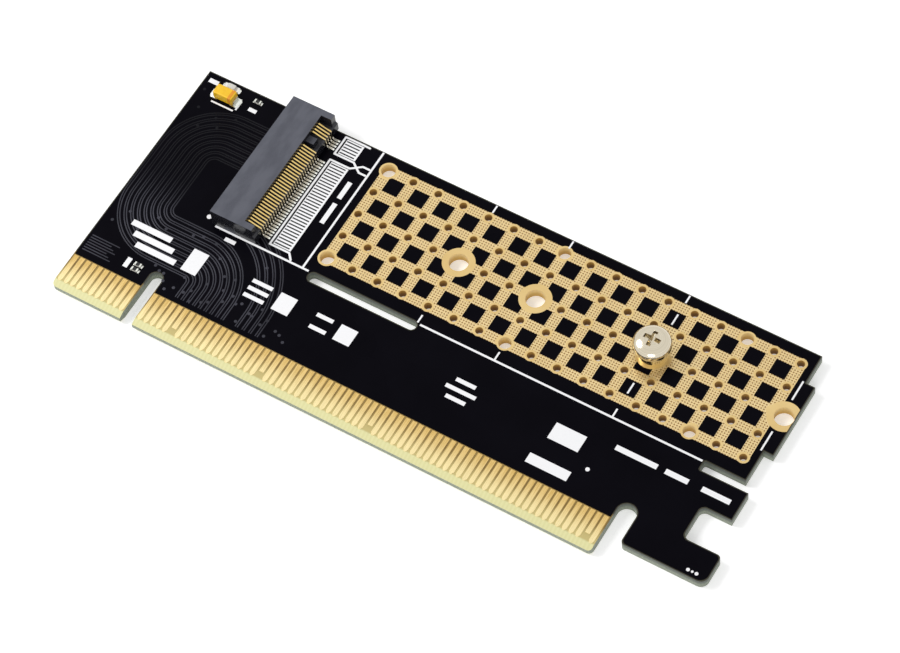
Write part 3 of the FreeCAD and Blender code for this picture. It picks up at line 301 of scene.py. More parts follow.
field_finish, tree, shader, place = start_material(
    "immersion_gold_mesh", {"Metallic": 1.0, "Roughness": 0.36})
flat = add(tree, "ShaderNodeVectorMath", {0: place, 1: (1, 1, 0)}, operation="MULTIPLY")
hole = lattice_distance(tree, flat, MESH_START, MESH_PITCH)
clear = lattice_distance(tree, flat, VIA_START, VIA_PITCH)
clear = add(tree, "ShaderNodeMath", {0: clear, 1: VIA_CLEAR}, operation="SUBTRACT")
for x, y, radius in SEAT_RINGS + WIDE_RINGS:
    reach = add(tree, "ShaderNodeVectorMath", {0: flat, 1: (x, y, 0)}, operation="DISTANCE")
    beyond = add(tree, "ShaderNodeMath", {0: reach, 1: radius}, operation="SUBTRACT")
    clear = add(tree, "ShaderNodeMath", {0: clear, 1: beyond}, operation="MINIMUM")
meshed = span(tree, clear, -0.02, 0.02)
etched = add(tree, "ShaderNodeMath", {0: span(tree, hole, MESH_HOLE + 0.02, MESH_HOLE - 0.02), 1: meshed},
             operation="MULTIPLY")
# A pale ring round each mesh hole is a painted highlight on the etched edge of the copper.
rim = add(tree, "ShaderNodeMath", {0: span(tree, hole, MESH_HIGHLIGHT_RIM + 0.03, MESH_HIGHLIGHT_RIM - 0.03), 1: meshed},
          operation="MULTIPLY")
gold = blend_of(tree, grain(tree, place, 5.0), linear("#D2B274"), linear("#E6CC92"))
gold = blend_of(tree, rim, gold, linear("#F4E4B8"))
drive(tree, shader, "Base Color", blend_of(tree, etched, gold, linear("#A27834")))
drive(tree, shader, "Metallic", span(tree, etched, 0, 1, 1.0, 0.0))
drive(tree, shader, "Roughness", span(tree, grain(tree, place, 0.12), 0.3, 0.7, 0.28, 0.42))
dent(tree, shader, span(tree, etched, 0, 1, 1, 0), 0.03)
dress(field_finish, "gold_field_front", "gold_field_back")

# %% [markdown]
# ## Hard-gold edge contacts
#
# The contacts that rub in the slot are plated with hard gold, brighter and paler than the field, and
# plating draws faint lines along each finger. The gold pales towards the bevel. Long thin noise,
# stretched along the finger, draws the lines, because a real brushed look also has a direction.

# %% Hard-gold edge contacts
finger_finish, tree, shader, place = start_material("hard_gold_plating", {"Metallic": 1.0, "Roughness": 0.3})
axes = add(tree, "ShaderNodeSeparateXYZ", {"Vector": place})
lines = grain(tree, place, 0.05, stretch=(1, 40, 1))
gold = blend_of(tree, span(tree, axes.outputs["Y"], 5.4, 1.2), linear("#D2AE64"), linear("#F0DEA6"))
gold = blend_of(tree, span(tree, lines, 0.35, 0.75, 0, 0.35), gold, linear("#F8E4AE"))
drive(tree, shader, "Base Color", gold)
drive(tree, shader, "Roughness", span(tree, lines, 0.3, 0.7, 0.24, 0.4))
dent(tree, shader, lines, 0.002)
dress(finger_finish, "edge_contacts_front", "edge_contacts_back")

# %% [markdown]
# ## Plated holes
#
# Each through hole is a copper sleeve with the same thin gold. Light hardly gets into a hole 1.1 mm
# wide, so its wall is painted brown, and darker with depth, as painted shade. The depth is known from
# the place on the card, so the colour can follow it. The flat collar round the hole lies in full light
# and is as bright as the field, so the finish also goes by which way the face looks, the wall's
# darker colour being painted shade.

# %% Plated holes


def sleeve_material(name, rim_tone, worn_tone, deep_shade_tone):
    """Plated sleeve: two mingled tones at the rim that change down the hole to a third, darker one, a painted
    shade.
    """
    material, tree, shader, place = start_material(name, {"Metallic": 0.3, "Roughness": 0.5})
    facing = add(tree, "ShaderNodeNewGeometry", {})
    upright = add(tree, "ShaderNodeSeparateXYZ", {"Vector": facing.outputs["Normal"]})
    axes = add(tree, "ShaderNodeSeparateXYZ", {"Vector": place})
    lit = blend_of(tree, grain(tree, place, 0.25), linear(worn_tone), linear(rim_tone))
    depth = span(tree, axes.outputs["Z"], 1.5, 0.4)
    inside = blend_of(tree, depth, lit, linear(deep_shade_tone))
    flatness = add(tree, "ShaderNodeMath", {0: upright.outputs["Z"]}, operation="ABSOLUTE")
    collar = span(tree, flatness, 0.4, 0.8)
    outside = blend_of(tree, grain(tree, place, 5.0), linear("#DABA7C"), linear("#ECD49C"))
    drive(tree, shader, "Base Color", blend_of(tree, collar, inside, outside))
    drive(tree, shader, "Metallic", span(tree, collar, 0, 1, 0.3, 1.0))
    drive(tree, shader, "Roughness", span(tree, collar, 0, 1, 0.5, 0.34))
    return material


dress(sleeve_material("gold_plated_narrow_sleeve", "#DEB860", "#B08020", "#94680C"), "via_barrels")
dress(sleeve_material("gold_plated_wide_sleeve", "#F4E2AC", "#E2C684", "#D2B060"), "plated_hole_barrels")

# %% [markdown]
# ## Solder and tin
#
# Reflowed lead-free solder is bright and slightly pebbled, and the tin on terminals is the same
# metal, laid on thinner and duller. One function makes both, with its own colours and the size of the
# grain, because only these differ. The socket's anchor tabs are nickel, and their dark colour is
# painted shade.

# %% Solder and tin


def tin_material(name, dark, light, rough, size):
    """Tin or solder: two tones, a roughness and the size of its crystals in millimetres."""
    material, tree, shader, place = start_material(name, {"Metallic": 1.0, "Roughness": rough})
    crystals = grain(tree, place, size, detail=3.0)
    drive(tree, shader, "Base Color", blend_of(tree, crystals, linear(dark), linear(light)))
    drive(tree, shader, "Roughness", span(tree, crystals, 0.3, 0.7, rough - 0.08, rough + 0.1))
    dent(tree, shader, crystals, 0.008)
    return material


solder_finish = tin_material("reflowed_solder", "#D4D7CE", "#FCFDF8", 0.3, 0.12)
tin_finish = tin_material("matt_tin_plating", "#BCBEB6", "#ECEDE6", 0.36, 0.08)
dress(solder_finish, "solder_lands")
dress(tin_finish, "capacitor_terminals", "resistor_caps")
# The tabs' dark nickel colour is painted shade.
dress(tin_material("nickel_plating_painted_shade", "#34353E", "#50525C", 0.4, 0.2), "socket_anchor_tabs")

# %% [markdown]
# ## Moulded socket
#
# The socket is a glass-filled liquid-crystal polymer, moulded in a tool whose top face is
# spark-eroded to a fine grain and whose sides have a mirror polish, so the top is rough and the sides
# glossy. The colour also goes by which way the face looks, as painted light and shade: the top is
# painted a lighter slate grey, the sides near black, and upward faces low on the housing darker.

# %% Moulded socket
socket_finish, tree, shader, place = start_material(
    "spark_eroded_liquid_crystal_polymer_painted_light_and_shade", {"IOR": 1.6, "Specular IOR Level": 0.35})
facing = add(tree, "ShaderNodeNewGeometry", {})
upright = add(tree, "ShaderNodeSeparateXYZ", {"Vector": facing.outputs["True Normal"]})
axes = add(tree, "ShaderNodeSeparateXYZ", {"Vector": place})
# The lit top and the shaded sides are painted; the roughness that goes with them is the real finish.
matt_lit_top = span(tree, upright.outputs["Z"], 0.3, 0.8)
# Upward faces below the top of the housing turn darker, a painted shade.
high = span(tree, axes.outputs["Z"], 3.4, 4.6)
grit = grain(tree, place, 0.09, detail=3.0)
flow = grain(tree, place, 1.6, stretch=(1, 2.5, 1))
glossy_shaded_sides = blend_of(tree, flow, linear("#121216"), linear("#222228"))
eroded = blend_of(tree, grit, linear("#31333D"), linear("#52545F"))
top = blend_of(tree, span(tree, flow, 0.3, 0.7, 0, 0.4), eroded, linear("#666872"))
top = blend_of(tree, high, linear("#2A2A30"), top)
drive(tree, shader, "Base Color", blend_of(tree, matt_lit_top, glossy_shaded_sides, top))
drive(tree, shader, "Roughness", span(tree, matt_lit_top, 0, 1, 0.22, 0.55))
edge = add(tree, "ShaderNodeBevel", {"Radius": 0.05 * MM}, samples=4)
bump = add(tree, "ShaderNodeBump", {"Height": grit, "Distance": 0.008 * MM, "Strength": 0.8, "Normal": edge})
drive(tree, shader, "Normal", bump)
dress(socket_finish, "socket_housing")

# %% [markdown]
# ## Socket contacts
#
# Each contact is stamped from phosphor bronze. Gold covers the beam that touches the module, and the
# tail that is soldered to the card is tinned. The change of plating is at a fixed distance from the
# housing, so the place on the card picks the colour.

# %% Socket contacts
tail_high = corners("socket_contacts_lower")[1]
socket_low, socket_high = corners("socket_housing")

contact_finish, tree, shader, place = start_material(
    "stamped_bronze_gold_and_tin", {"Metallic": 1.0, "Roughness": 0.25})
axes = add(tree, "ShaderNodeSeparateXYZ", {"Vector": place})
tin_front = span(tree, axes.outputs["X"], socket_high[0] - 0.15, socket_high[0] + 0.25)
tin_back = span(tree, axes.outputs["X"], socket_low[0] + 0.1, socket_low[0] - 0.1)
tinned = add(tree, "ShaderNodeMath", {0: tin_front, 1: tin_back}, operation="MAXIMUM")
lines = grain(tree, place, 0.06, stretch=(12, 1, 12))
gold = blend_of(tree, lines, linear("#D2A548"), linear("#FCE8A4"))
tin = blend_of(tree, lines, linear("#B4AEA0"), linear("#ECE8DC"))
drive(tree, shader, "Base Color", blend_of(tree, tinned, gold, tin))
dent(tree, shader, lines, 0.003)
dress(contact_finish, "socket_contacts_lower", "socket_contacts_upper")

# %% [markdown]
# ## Screw and stand-off
#
# Both are turned or cold-headed metal with bright nickel. Turning leaves rings round the axis, which
# are drawn by the distance from the axis and the height, in bands a tenth of a millimetre apart.

# %% Screw and stand-off
screw_low, screw_high = corners("retaining_screw")
axis_x, axis_y = (screw_low[:2] + screw_high[:2]) / 2
print("screw axis at", round(axis_x, 3), round(axis_y, 3), "mm, head", round(screw_high[2], 2), "mm high")


def turned_material(name, dark, light, rough):
    """Bright turned metal with fine rings about the screw's axis."""
    material, tree, shader, place = start_material(name, {"Metallic": 1.0, "Roughness": rough})
    offset = add(tree, "ShaderNodeVectorMath", {0: place, 1: (axis_x, axis_y, 0)}, operation="SUBTRACT")
    axes = add(tree, "ShaderNodeSeparateXYZ", {"Vector": offset})
    flat = add(tree, "ShaderNodeVectorMath", {0: offset, 1: (1, 1, 0)}, operation="MULTIPLY")
    reach = add(tree, "ShaderNodeVectorMath", {0: flat}, operation="LENGTH")
    rings = add(tree, "ShaderNodeCombineXYZ", {"X": reach, "Y": axes.outputs["Z"]})
    marks = grain(tree, rings, 0.10)
    drive(tree, shader, "Base Color", blend_of(tree, marks, linear(dark), linear(light)))
    drive(tree, shader, "Roughness", span(tree, marks, 0.3, 0.7, rough, rough + 0.1))
    dent(tree, shader, marks, 0.003)
    return material


screw_finish = turned_material("bright_nickel_steel", "#BFB5A0", "#E8DFCA", 0.08)
stand_finish = turned_material("nickel_plated_brass", "#C4B48C", "#F0E2BE", 0.12)
dress(stand_finish, "standoff")
dress(screw_finish, "retaining_screw")

# %% [markdown]
# ## Small components
#
# The tantalum capacitor is moulded in amber epoxy, and its stripe is printed. The chip resistors are
# white alumina with a black glaze. The light-emitting diode is a white resin block with a clear lens.
# These are all smooth resins, glazes and ceramics, so one function gives each its two tones, its
# roughness and the size of its speckle.

# %% Small components


def resin_material(name, dark, light, rough, size, **more):
    """A moulded resin, glaze, ceramic or ink: two tones mixed by a speckle of the given size in mm."""
    constants = {"Roughness": rough, "IOR": 1.5}
    constants.update({key.replace("_", " "): number for key, number in more.items()})
    material, tree, shader, place = start_material(name, constants)
    speckle = grain(tree, place, size, detail=3.0)
    drive(tree, shader, "Base Color", blend_of(tree, speckle, linear(dark), linear(light)))
    dent(tree, shader, speckle, 0.004)
    return material


amber_finish = resin_material("moulded_amber_epoxy", "#EAB206", "#FFD230", 0.35, 0.5)
orange_finish = resin_material("printed_orange_ink", "#D98A14", "#EE9E22", 0.5, 0.3)
alumina_finish = resin_material("fired_alumina", "#D8D6CE", "#F0EEE8", 0.6, 0.15)
glaze_finish = resin_material("black_glass_glaze", "#0C0C0E", "#1C1C20", 0.15, 0.3)
white_resin_finish = resin_material("white_reflector_resin", "#E8E8E4", "#FCFCFA", 0.5, 0.3)
lens_finish = resin_material(
    "clear_silicone_lens", "#ECEBE4", "#FCFBF6", 0.12, 0.4, Transmission_Weight=0.25)
dress(orange_finish, "capacitor_band")
dress(amber_finish, "capacitor_body")
dress(alumina_finish, "resistor_blocks")
dress(glaze_finish, "resistor_glaze")
dress(white_resin_finish, "led_base")
dress(lens_finish, "led_lens")

# %% [markdown]
# ## White legend ink
#
# The legend is epoxy ink pressed through a screen, so it stands a little proud and its surface keeps
# a trace of the screen's mesh, about 0.1 mm. The marks are plain bars, frames and dots.

# %% White legend ink
ink_finish = resin_material("screen_printed_white_ink", "#EEEEF2", "#FFFFFF", 0.55, 0.1)
dress(ink_finish, "legend_border", "legend_ticks", "legend_ladders", "legend_brackets", "legend_dots",
      "legend_marks")

# %% [markdown]
# ## Tools for new pieces
#
# A new piece is one or more closed skins. A skin is a grid of points: each ring closes on itself, and
# the rings follow one another along an axis or a path. The faces then follow from the grid's own
# numbering, so no point is handled one by one.

# %% Tools for new pieces


def skin(rings):
    """Points and faces of a closed skin. Ring i is rings[i], and each end ring is closed by a fan to its
    middle point. Seen from ahead, against the way the rings advance, each ring runs anticlockwise, so
    that the faces point outward."""
    count, around = rings.shape[:2]
    index = np.arange(count * around).reshape(count, around)
    here, there = index[:-1], index[1:]
    quads = np.stack([here, np.roll(here, -1, 1), np.roll(there, -1, 1), there], -1).reshape(-1, 4)
    first, last = index[0], index[-1]
    low = np.stack([np.roll(first, -1), first, np.full(around, count * around)], -1)
    high = np.stack([last, np.roll(last, -1), np.full(around, count * around + 1)], -1)
    points = np.vstack([rings.reshape(-1, 3), rings[0].mean(0), rings[-1].mean(0)])
    return points, quads.tolist() + low.tolist() + high.tolist()


def make_piece(name, skins, material, slot, *replaced, sharp=35):
    """One object from skins given in millimetres. It rides on the card and takes the given material; the slot
    is not used.
    """
    points, faces, start = [], [], 0
    for part_points, part_faces in skins:
        points.append(part_points)
        faces += [[corner + start for corner in face] for face in part_faces]
        start += len(part_points)
    mesh = bpy.data.meshes.new(name)
    mesh.from_pydata((np.vstack(points) * MM).tolist(), [], faces)
    mesh.validate()
    mesh.shade_smooth()
    mesh.set_sharp_from_angle(angle=math.radians(sharp))
    mesh.materials.append(material)
    piece = bpy.data.objects.new(name, mesh)
    bpy.context.scene.collection.objects.link(piece)
    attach(piece, "root")
    if replaced:
        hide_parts(*replaced)
    print(f"{name}: {len(skins)} skins, {len(faces)} faces")
    return piece


# %% [markdown]
# ## Copper tracks under the mask
#
# The tracks are copper about 0.035 mm thick, and the mask over them shows them as low ridges. They
# run in pairs from the back of the socket, turn down beside it, turn again under it and reach the
# contacts, always as nested quarter circles. A texture could fake them, but a ridge catches the light
# along its own edge, so each one is a flat ribbon with sloping sides, carried along its path.

# %% Copper tracks under the mask
TOP = corners("solder_mask_front")[1][2]          # upper face of the mask, mm
RIDGE, TRACK = 0.012, 0.17                        # height and width of a ridge, mm
PAIR_STEP, PAIR_GAP = 0.92, 0.34                  # from pair to pair, and within a pair, mm


def arc(centre, radius, start, end, steps=24):
    """Points of a circle's arc: centre plus radius times cosine and sine, from start to end in degrees."""
    angle = np.radians(np.linspace(start, end, steps))
    return np.stack([centre[0] + radius * np.cos(angle), centre[1] + radius * np.sin(angle)], -1)


def ribbon(path, width=TRACK, rise=RIDGE):
    """A ridge along a path: across the path stand a left foot, a left shoulder, a right shoulder and a
    right foot, at the side direction times half the width, with the shoulders raised and drawn in."""
    along = np.gradient(path, axis=0)
    along /= np.linalg.norm(along, axis=1, keepdims=True)
    side = np.stack([-along[:, 1], along[:, 0]], -1)[:, None, :]
    reach = np.array([0.5, 0.32, -0.32, -0.5])[None, :, None] * width
    flat = path[:, None, :] + side * reach
    lift = np.broadcast_to(TOP + np.array([-0.002, rise, rise, -0.002]), flat.shape[:2])
    return skin(np.concatenate([flat, lift[..., None]], -1))


def straight(start, end, steps=6):
    """Evenly spaced points on a straight line."""
    return np.linspace(start, end, steps)[1:-1]


TURN_IN, TURN_DOWN, TURN_OUT = (-2.9, 26.6), (-2.9, 18.4), (3.3, 8.9)
LEAD_END, FINGER_END = 0.85, 6.3
tracks = []
for k in range(18):
    radius = 8.85 - PAIR_STEP * (k // 2) - PAIR_GAP * (k % 2)
    last = TURN_DOWN[1] - TURN_OUT[1] - radius
    tracks.append(np.vstack([
        [(LEAD_END, TURN_IN[1] + radius)],
        arc(TURN_IN, radius, 90, 180),
        straight((TURN_IN[0] - radius, TURN_IN[1]), (TURN_DOWN[0] - radius, TURN_DOWN[1])),
        arc(TURN_DOWN, radius, 180, 270),
        arc(TURN_OUT, last, 90, 0) if last > 0.3 else np.empty((0, 2)),
        [(TURN_OUT[0] + max(last, 0), FINGER_END)],
    ]))
for k in range(8):
    radius = 10.3 + PAIR_STEP * 1.15 * (k // 2) + PAIR_GAP * (k % 2)
    tracks.append(np.vstack([arc(TURN_OUT, radius, 64, 0), [(TURN_OUT[0] + radius, FINGER_END)]]))
for k in range(7):
    y = 6.7 + 0.42 * k
    tracks.append(np.array([(-11.5, y), (-7.0 - 0.55 * (k % 3), y)]))
# The ridges take the mask over copper, whose lighter tone near the contacts is a painted highlight.
make_piece("mask_tracks", [ribbon(path) for path in tracks], highlit_copper_mask_finish, "solder_mask", sharp=20)

# %% [markdown]
# ## Tented vias
#
# Small plated holes that the mask closes over show as low round pimples. Each is half a cosine wave
# turned about its middle. They stand where tracks change side, most of them behind the contacts, and
# a fixed seed scatters them the same way each time.

# %% Tented vias
VIA_RADIUS, VIA_RISE = 0.24, 0.016


def pimple(x, y, radius=VIA_RADIUS, rise=VIA_RISE):
    """Height is rise times (1 + cosine of pi times distance over radius) / 2, on four rings of twelve."""
    share = np.array([1.0, 0.95, 0.7, 0.45, 0.2])[:, None]
    angle = np.linspace(0, 2 * np.pi, 12, endpoint=False)[None, :]
    reach = radius * share * np.ones_like(angle)
    height = TOP + rise * (1 + np.cos(np.pi * share)) / 2 * np.ones_like(angle)
    height[0] -= 0.002
    return skin(np.stack([x + reach * np.cos(angle), y + reach * np.sin(angle), height], -1))


scatter = np.random.default_rng(7)
spots = [(-11.1, 36.85), (-4.4, 34.5), (-7.0, 33.45), (-6.0, 32.15), (-10.2, 33.9), (-8.6, 31.2)]
ROWS = ((-1.2, 20.5, 0.8, 0.2, 6.6, 10.8),        # first, last, step and spread in X, near and far in Y, mm
        (-10.8, 13.0, 1.9, 0.5, 11.5, 16.5))
for first, last, step, spread, near, far in ROWS:
    columns = np.arange(first, last, step)
    columns = columns + scatter.uniform(-spread, spread, columns.size)
    spots += list(zip(columns, scatter.uniform(near, far, columns.size)))
# The pimples take the same finish, so their lighter tone is a painted highlight too.
make_piece("tented_vias", [pimple(x, y) for x, y in spots], highlit_copper_mask_finish, "solder_mask", sharp=60)

# %% [markdown]
# ## Solder fillets
#
# Melted solder climbs each terminal and runs out over its pad in a hollow curve. The height falls off
# as the square of the distance from the terminal, and towards both sides, on a small grid. The same
# fillet serves the big terminals and, smaller, every tail of the socket.

# %% Solder fillets
TAIL_STEP, TAIL_NEAR = 0.25, 0.02    # spacing that parts the tails in Y, and reach of their end in X, mm


def fillet(foot, way, width, run, rise):
    """Solder from a terminal: foot is the middle of its bottom edge, way the direction it runs out.
    Height is rise times (1 - share of the run) squared times (1 - share of half the width to the fourth)."""
    out = np.linspace(0, 1, 5)[:, None]
    across = np.linspace(-1, 1, 7)[None, :]
    height = rise * (1 - out) ** 2 * (1 - across ** 4) + 0.004
    height = np.concatenate([height, np.full((5, 2), -0.01)], 1)
    across = np.concatenate([across, [[1, -1]]], 1) * (1 - 0.25 * out ** 2)
    way = np.array(way, float)
    side = np.array([-way[1], way[0]])
    flat = np.array(foot[:2]) + out[..., None] * run * way + across[..., None] * width / 2 * side
    rings = np.concatenate([flat, (foot[2] + height)[..., None]], -1)
    return skin(rings[:, ::-1])


def tail_places(node, beyond):
    """Middles in Y of the contacts that reach past the given X, from the CAD node's own points, in mm."""
    mesh = nodes[node].data
    points = np.empty(len(mesh.vertices) * 3, np.float32)
    mesh.vertices.foreach_get("co", points)
    points = points.reshape(-1, 3) / MM
    past = points[np.abs(points[:, 0] - beyond) < TAIL_NEAR, 1]
    step = np.round(past / TAIL_STEP - 0.5)
    return np.array([past[step == s].mean() for s in np.unique(step)])


CHIP_LENGTH, CHIP_WIDTH = 1.0, 0.5                     # mm
CHIPS = ((-3.2, 38.45), (-3.2, 7.23), (-3.2, 8.07))    # middles of the chip resistors, mm
TAIL_FILLET = (0.26, 0.2, 0.13)                        # width, run and rise, mm
LED_FILLET = (0.7, 0.3, 0.2)
CHIP_FILLET = (0.96 * CHIP_WIDTH, 0.19, 0.22)
CAP_WIDTH, CAP_RISE, CAP_INSET = 1.35, 0.16, 0.05      # mm
TAIL_INSET = 0.02                                      # how far a fillet starts inside its tail, mm

upper_low = corners("socket_contacts_upper")[0]
fillets = []
for node, edge, way in (
        ("socket_contacts_lower", tail_high[0], 1), ("socket_contacts_upper", upper_low[0], -1)):
    for y in tail_places(node, edge):
        fillets.append(fillet((edge - way * TAIL_INSET, y, TOP), (way, 0), *TAIL_FILLET))
print("tails with a fillet:", len(fillets))

cap_low, cap_high = corners("capacitor_terminals")
cap_y = (cap_low[1] + cap_high[1]) / 2
for edge, way, run in ((cap_low[0], -1, 0.45), (cap_high[0], 1, 0.5)):
    fillets.append(fillet((edge - way * CAP_INSET, cap_y, TOP), (way, 0), CAP_WIDTH, run, CAP_RISE))
led_low, led_high = corners("led_base")
led_y = (led_low[1] + led_high[1]) / 2
for edge, way in ((led_low[0], -1), (led_high[0], 1)):
    fillets.append(fillet((edge, led_y, TOP), (way, 0), *LED_FILLET))
for x, y in CHIPS:
    for way in (-1, 1):
        fillets.append(fillet((x + way * CHIP_LENGTH / 2, y, TOP), (way, 0), *CHIP_FILLET))
make_piece("solder_fillets", fillets, solder_finish, "solder", sharp=50)

# %% [markdown]
# ## Moulded bodies
#
# The capacitor's case and the diode's lens come out of moulds, so they have rounded corners and a
# slight draft from the parting line. A superellipsoid, a ball whose sine and cosine are raised to a
# small power, is such a rounded block, and its points gather at the corners by themselves.

# %% Moulded bodies
CASE_POWER, CASE_DRAFT, LENS_POWER = 0.16, 0.035, 0.35
SKIN, STRIPE_LIFT = 0.012, 0.2    # ink on the case, and the stripe's lower edge above the case's foot, mm
STRIPE_POINTS = 64


def rounded_block(low, high, power, draft=0.0, rings=40, around=96):
    """A superellipsoid between two corners. Each of cosine and sine keeps its sign and has its size
    raised to power. The sides draw in by draft, as a share, from the middle to the top and bottom."""
    middle, half = (low + high) / 2, (high - low) / 2
    lift = np.linspace(-np.pi / 2, np.pi / 2, rings)[1:-1, None]
    turn_by = np.linspace(0, 2 * np.pi, around, endpoint=False)[None, :] + np.pi / around

    def soft(wave):
        return np.sign(wave) * np.abs(wave) ** power

    height = soft(np.sin(lift)) * np.ones_like(turn_by)
    reach = soft(np.cos(lift)) * (1 - draft * np.abs(height))
    points = np.stack([reach * soft(np.cos(turn_by)), reach * soft(np.sin(turn_by)), height], -1)
    return skin(middle + points * half)


case_low, case_high = corners("capacitor_body")
lens_low, lens_high = corners("led_lens")
make_piece("capacitor_case", [rounded_block(case_low, case_high, CASE_POWER, CASE_DRAFT)], amber_finish,
           "amber_resin", "capacitor_body")
make_piece("diode_lens", [rounded_block(lens_low, lens_high, LENS_POWER)], lens_finish, "clear_resin",
           "led_lens")

stripe_low, stripe_high = corners("capacitor_band")
stripe_low = np.array([stripe_low[0], case_low[1] - SKIN, case_low[2] + STRIPE_LIFT])
stripe_high = np.array([stripe_high[0], case_high[1] + SKIN, case_high[2] + SKIN])
angle = np.linspace(0, 2 * np.pi, STRIPE_POINTS, endpoint=False) + np.pi / STRIPE_POINTS
loop = np.stack([np.cos(angle), np.sin(angle)], -1)
loop = np.sign(loop) * np.abs(loop) ** CASE_POWER
loop[:, 0] *= 1 - CASE_DRAFT * np.abs(loop[:, 1])
middle, half = (stripe_low + stripe_high) / 2, (stripe_high - stripe_low) / 2
loop = middle[1:] + half[1:] * loop
rings = np.stack([
    np.column_stack([np.full(STRIPE_POINTS, x), loop]) for x in (stripe_low[0], stripe_high[0])
])
make_piece("capacitor_stripe", [skin(rings)], orange_finish, "orange_ink", "capacitor_band")

# %% [markdown]
# ## The screw
#
# A cold-headed screw: a domed head with a cross recess, and a rolled thread. A boolean cut would
# leave thin slivers at the recess, so the head is one height field on rings instead. At each point
# the recess is as deep as its tapering floor allows or as its steep wall allows, whichever is less.
# The thread is the same grid: its radius swings with the height and with the angle, a turn a pitch.

# %% The screw
HEAD_HEIGHT, HEAD_FLANK = 1.9, 0.55
DOME_POWER = 2.2
RECESS_SPAN, RECESS_WING, RECESS_DEPTH, RECESS_WALL = 2.4, 0.62, 1.1, 6.0
THREAD_RADIUS, THREAD_PITCH, THREAD_DEPTH = 1.0, 0.4, 0.13
RIM_RADIUS, INNER_START, INNER_END = 1.9, 1.87, 0.02    # where the dome's rings turn dense, and end, mm

head_radius = (screw_high[0] - screw_low[0]) / 2
head_base = screw_high[2] - HEAD_HEIGHT
angle = np.linspace(0, 2 * np.pi, 240, endpoint=False)

turns = np.arange(screw_low[2] + 0.25, head_base, THREAD_PITCH / 12)
tip = np.array([(0.6, screw_low[2]), (0.8, screw_low[2] + 0.12)])
bearing = np.array([(1.25, head_base), (RIM_RADIUS, head_base), (head_radius - 0.18, head_base),
                    (head_radius - 0.05, head_base + 0.04), (head_radius, head_base + 0.16)])
dome_height = HEAD_HEIGHT - HEAD_FLANK
reach = np.concatenate([
    head_radius * np.cos(np.linspace(0, math.acos(RIM_RADIUS / head_radius), 24)),
    np.linspace(INNER_START, INNER_END, 78)])
dome = head_base + HEAD_FLANK + dome_height * (1 - (reach / head_radius) ** DOME_POWER) ** (1 / DOME_POWER)
profile = np.vstack([
    tip, np.stack([np.full(turns.size, THREAD_RADIUS), turns], -1), bearing,
    np.stack([reach, dome], -1),
])
threaded = slice(len(tip), len(tip) + turns.size)
radius = np.broadcast_to(profile[:, :1], (len(profile), angle.size)).copy()
height = profile[:, 1:] + 0 * angle
swing = np.abs((height / THREAD_PITCH - angle / (2 * np.pi)) % 1 - 0.5) * 2
radius[threaded] -= THREAD_DEPTH * swing[threaded]
x, y = radius * np.cos(angle), radius * np.sin(angle)
half_span, half_wing = RECESS_SPAN / 2, RECESS_WING / 2
inside = np.maximum(
    np.minimum(half_wing - np.abs(y), half_span - np.abs(x)),
    np.minimum(half_wing - np.abs(x), half_span - np.abs(y)))
floor_depth = RECESS_DEPTH * (1 - 0.6 * (radius / half_span) ** 2)
carve = np.clip(np.minimum(inside * RECESS_WALL, floor_depth), 0, None)
carve[: len(profile) - reach.size] = 0
rings = np.stack([axis_x + x, axis_y + y, height - carve], -1)
make_piece("screw_with_cross_recess", [skin(rings)], screw_finish, "nickel_plate", "retaining_screw",
           sharp=32)

# %% [markdown]
# ## Studio
#
# A white floor and soft light. The floor keeps the card's soft shadow. To the camera, and to gloss
# and glass, the floor glows a little and the sky is plain white, so that the background is white and
# metal has something bright to show, while the light on the card itself stays at a plain level.

# %% Studio
FLOOR_HALF, FLOOR_GLOW, SKY = 3.0, 0.36, 0.5


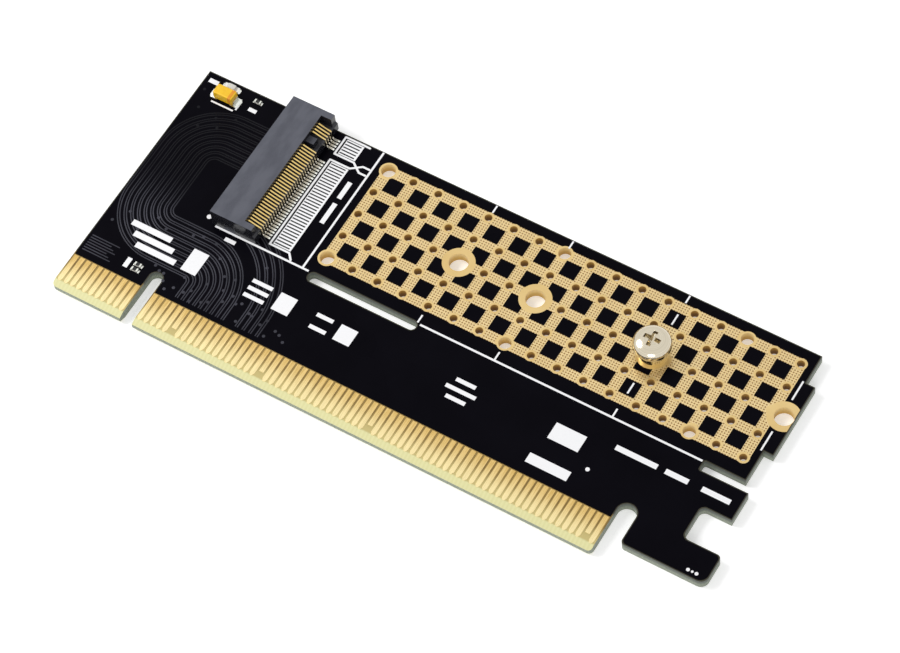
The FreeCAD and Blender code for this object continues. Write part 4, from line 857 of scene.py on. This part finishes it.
def direct_rays(tree):
    """1 for rays from the camera and for rays in gloss or through glass, 0 for all others."""
    ray = add(tree, "ShaderNodeLightPath", {})
    seen = add(tree, "ShaderNodeMath", {0: ray.outputs["Is Camera Ray"], 1: ray.outputs["Is Glossy Ray"]},
               operation="MAXIMUM")
    return add(tree, "ShaderNodeMath", {0: seen, 1: ray.outputs["Is Transmission Ray"]}, operation="MAXIMUM")


floor_mesh = bpy.data.meshes.new("floor")
floor_level = cad_low[2] - 0.05 * MM
floor_mesh.from_pydata(
    [(-FLOOR_HALF, -FLOOR_HALF, floor_level), (FLOOR_HALF, -FLOOR_HALF, floor_level),
     (FLOOR_HALF, FLOOR_HALF, floor_level), (-FLOOR_HALF, FLOOR_HALF, floor_level)], [], [(0, 1, 2, 3)])
floor = bpy.data.objects.new("floor", floor_mesh)
bpy.context.scene.collection.objects.link(floor)
floor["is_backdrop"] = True

floor_finish, tree, shader, place = start_material(
    "matt_white_paper", {"Base Color": linear("#F4F4F4"), "Roughness": 0.9, "Specular IOR Level": 0.1,
                         "Emission Color": (1, 1, 1, 1)})
glow = add(tree, "ShaderNodeMath", {0: direct_rays(tree), 1: FLOOR_GLOW}, operation="MULTIPLY")
drive(tree, shader, "Emission Strength", glow)
floor_mesh.materials.append(floor_finish)

world = bpy.data.worlds.new("studio")
bpy.context.scene.world = world
world.use_nodes = True
tree = world.node_tree
strength = add(tree, "ShaderNodeMapRange", {"Value": direct_rays(tree), "To Min": SKY, "To Max": 1.0})
tree.nodes["Background"].inputs["Color"].default_value = (1, 1, 1, 1)
tree.links.new(strength.outputs[0], tree.nodes["Background"].inputs["Strength"])


def soft_lamp(name, place, size, power):
    """A round area lamp that looks at the middle of the card."""
    light = bpy.data.lights.new(name, "AREA")
    light.shape, light.size, light.energy = "DISK", size, power
    lamp = bpy.data.objects.new(name, light)
    aim = Vector(place) - TARGET
    lamp.matrix_world = Matrix.Translation(place) @ aim.to_track_quat("Z", "Y").to_matrix().to_4x4()
    bpy.context.scene.collection.objects.link(lamp)


soft_lamp("key", (-0.38, -0.06, 0.42), 0.30, 2.0)
soft_lamp("fill", (0.26, -0.42, 0.30), 0.30, 0.8)

scene = bpy.context.scene
scene.view_settings.view_transform = "Standard"

# %% Sizes and finish
low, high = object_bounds()
print("visual box in mm:", [round(v / MM, 2) for v in (*low, *high)])
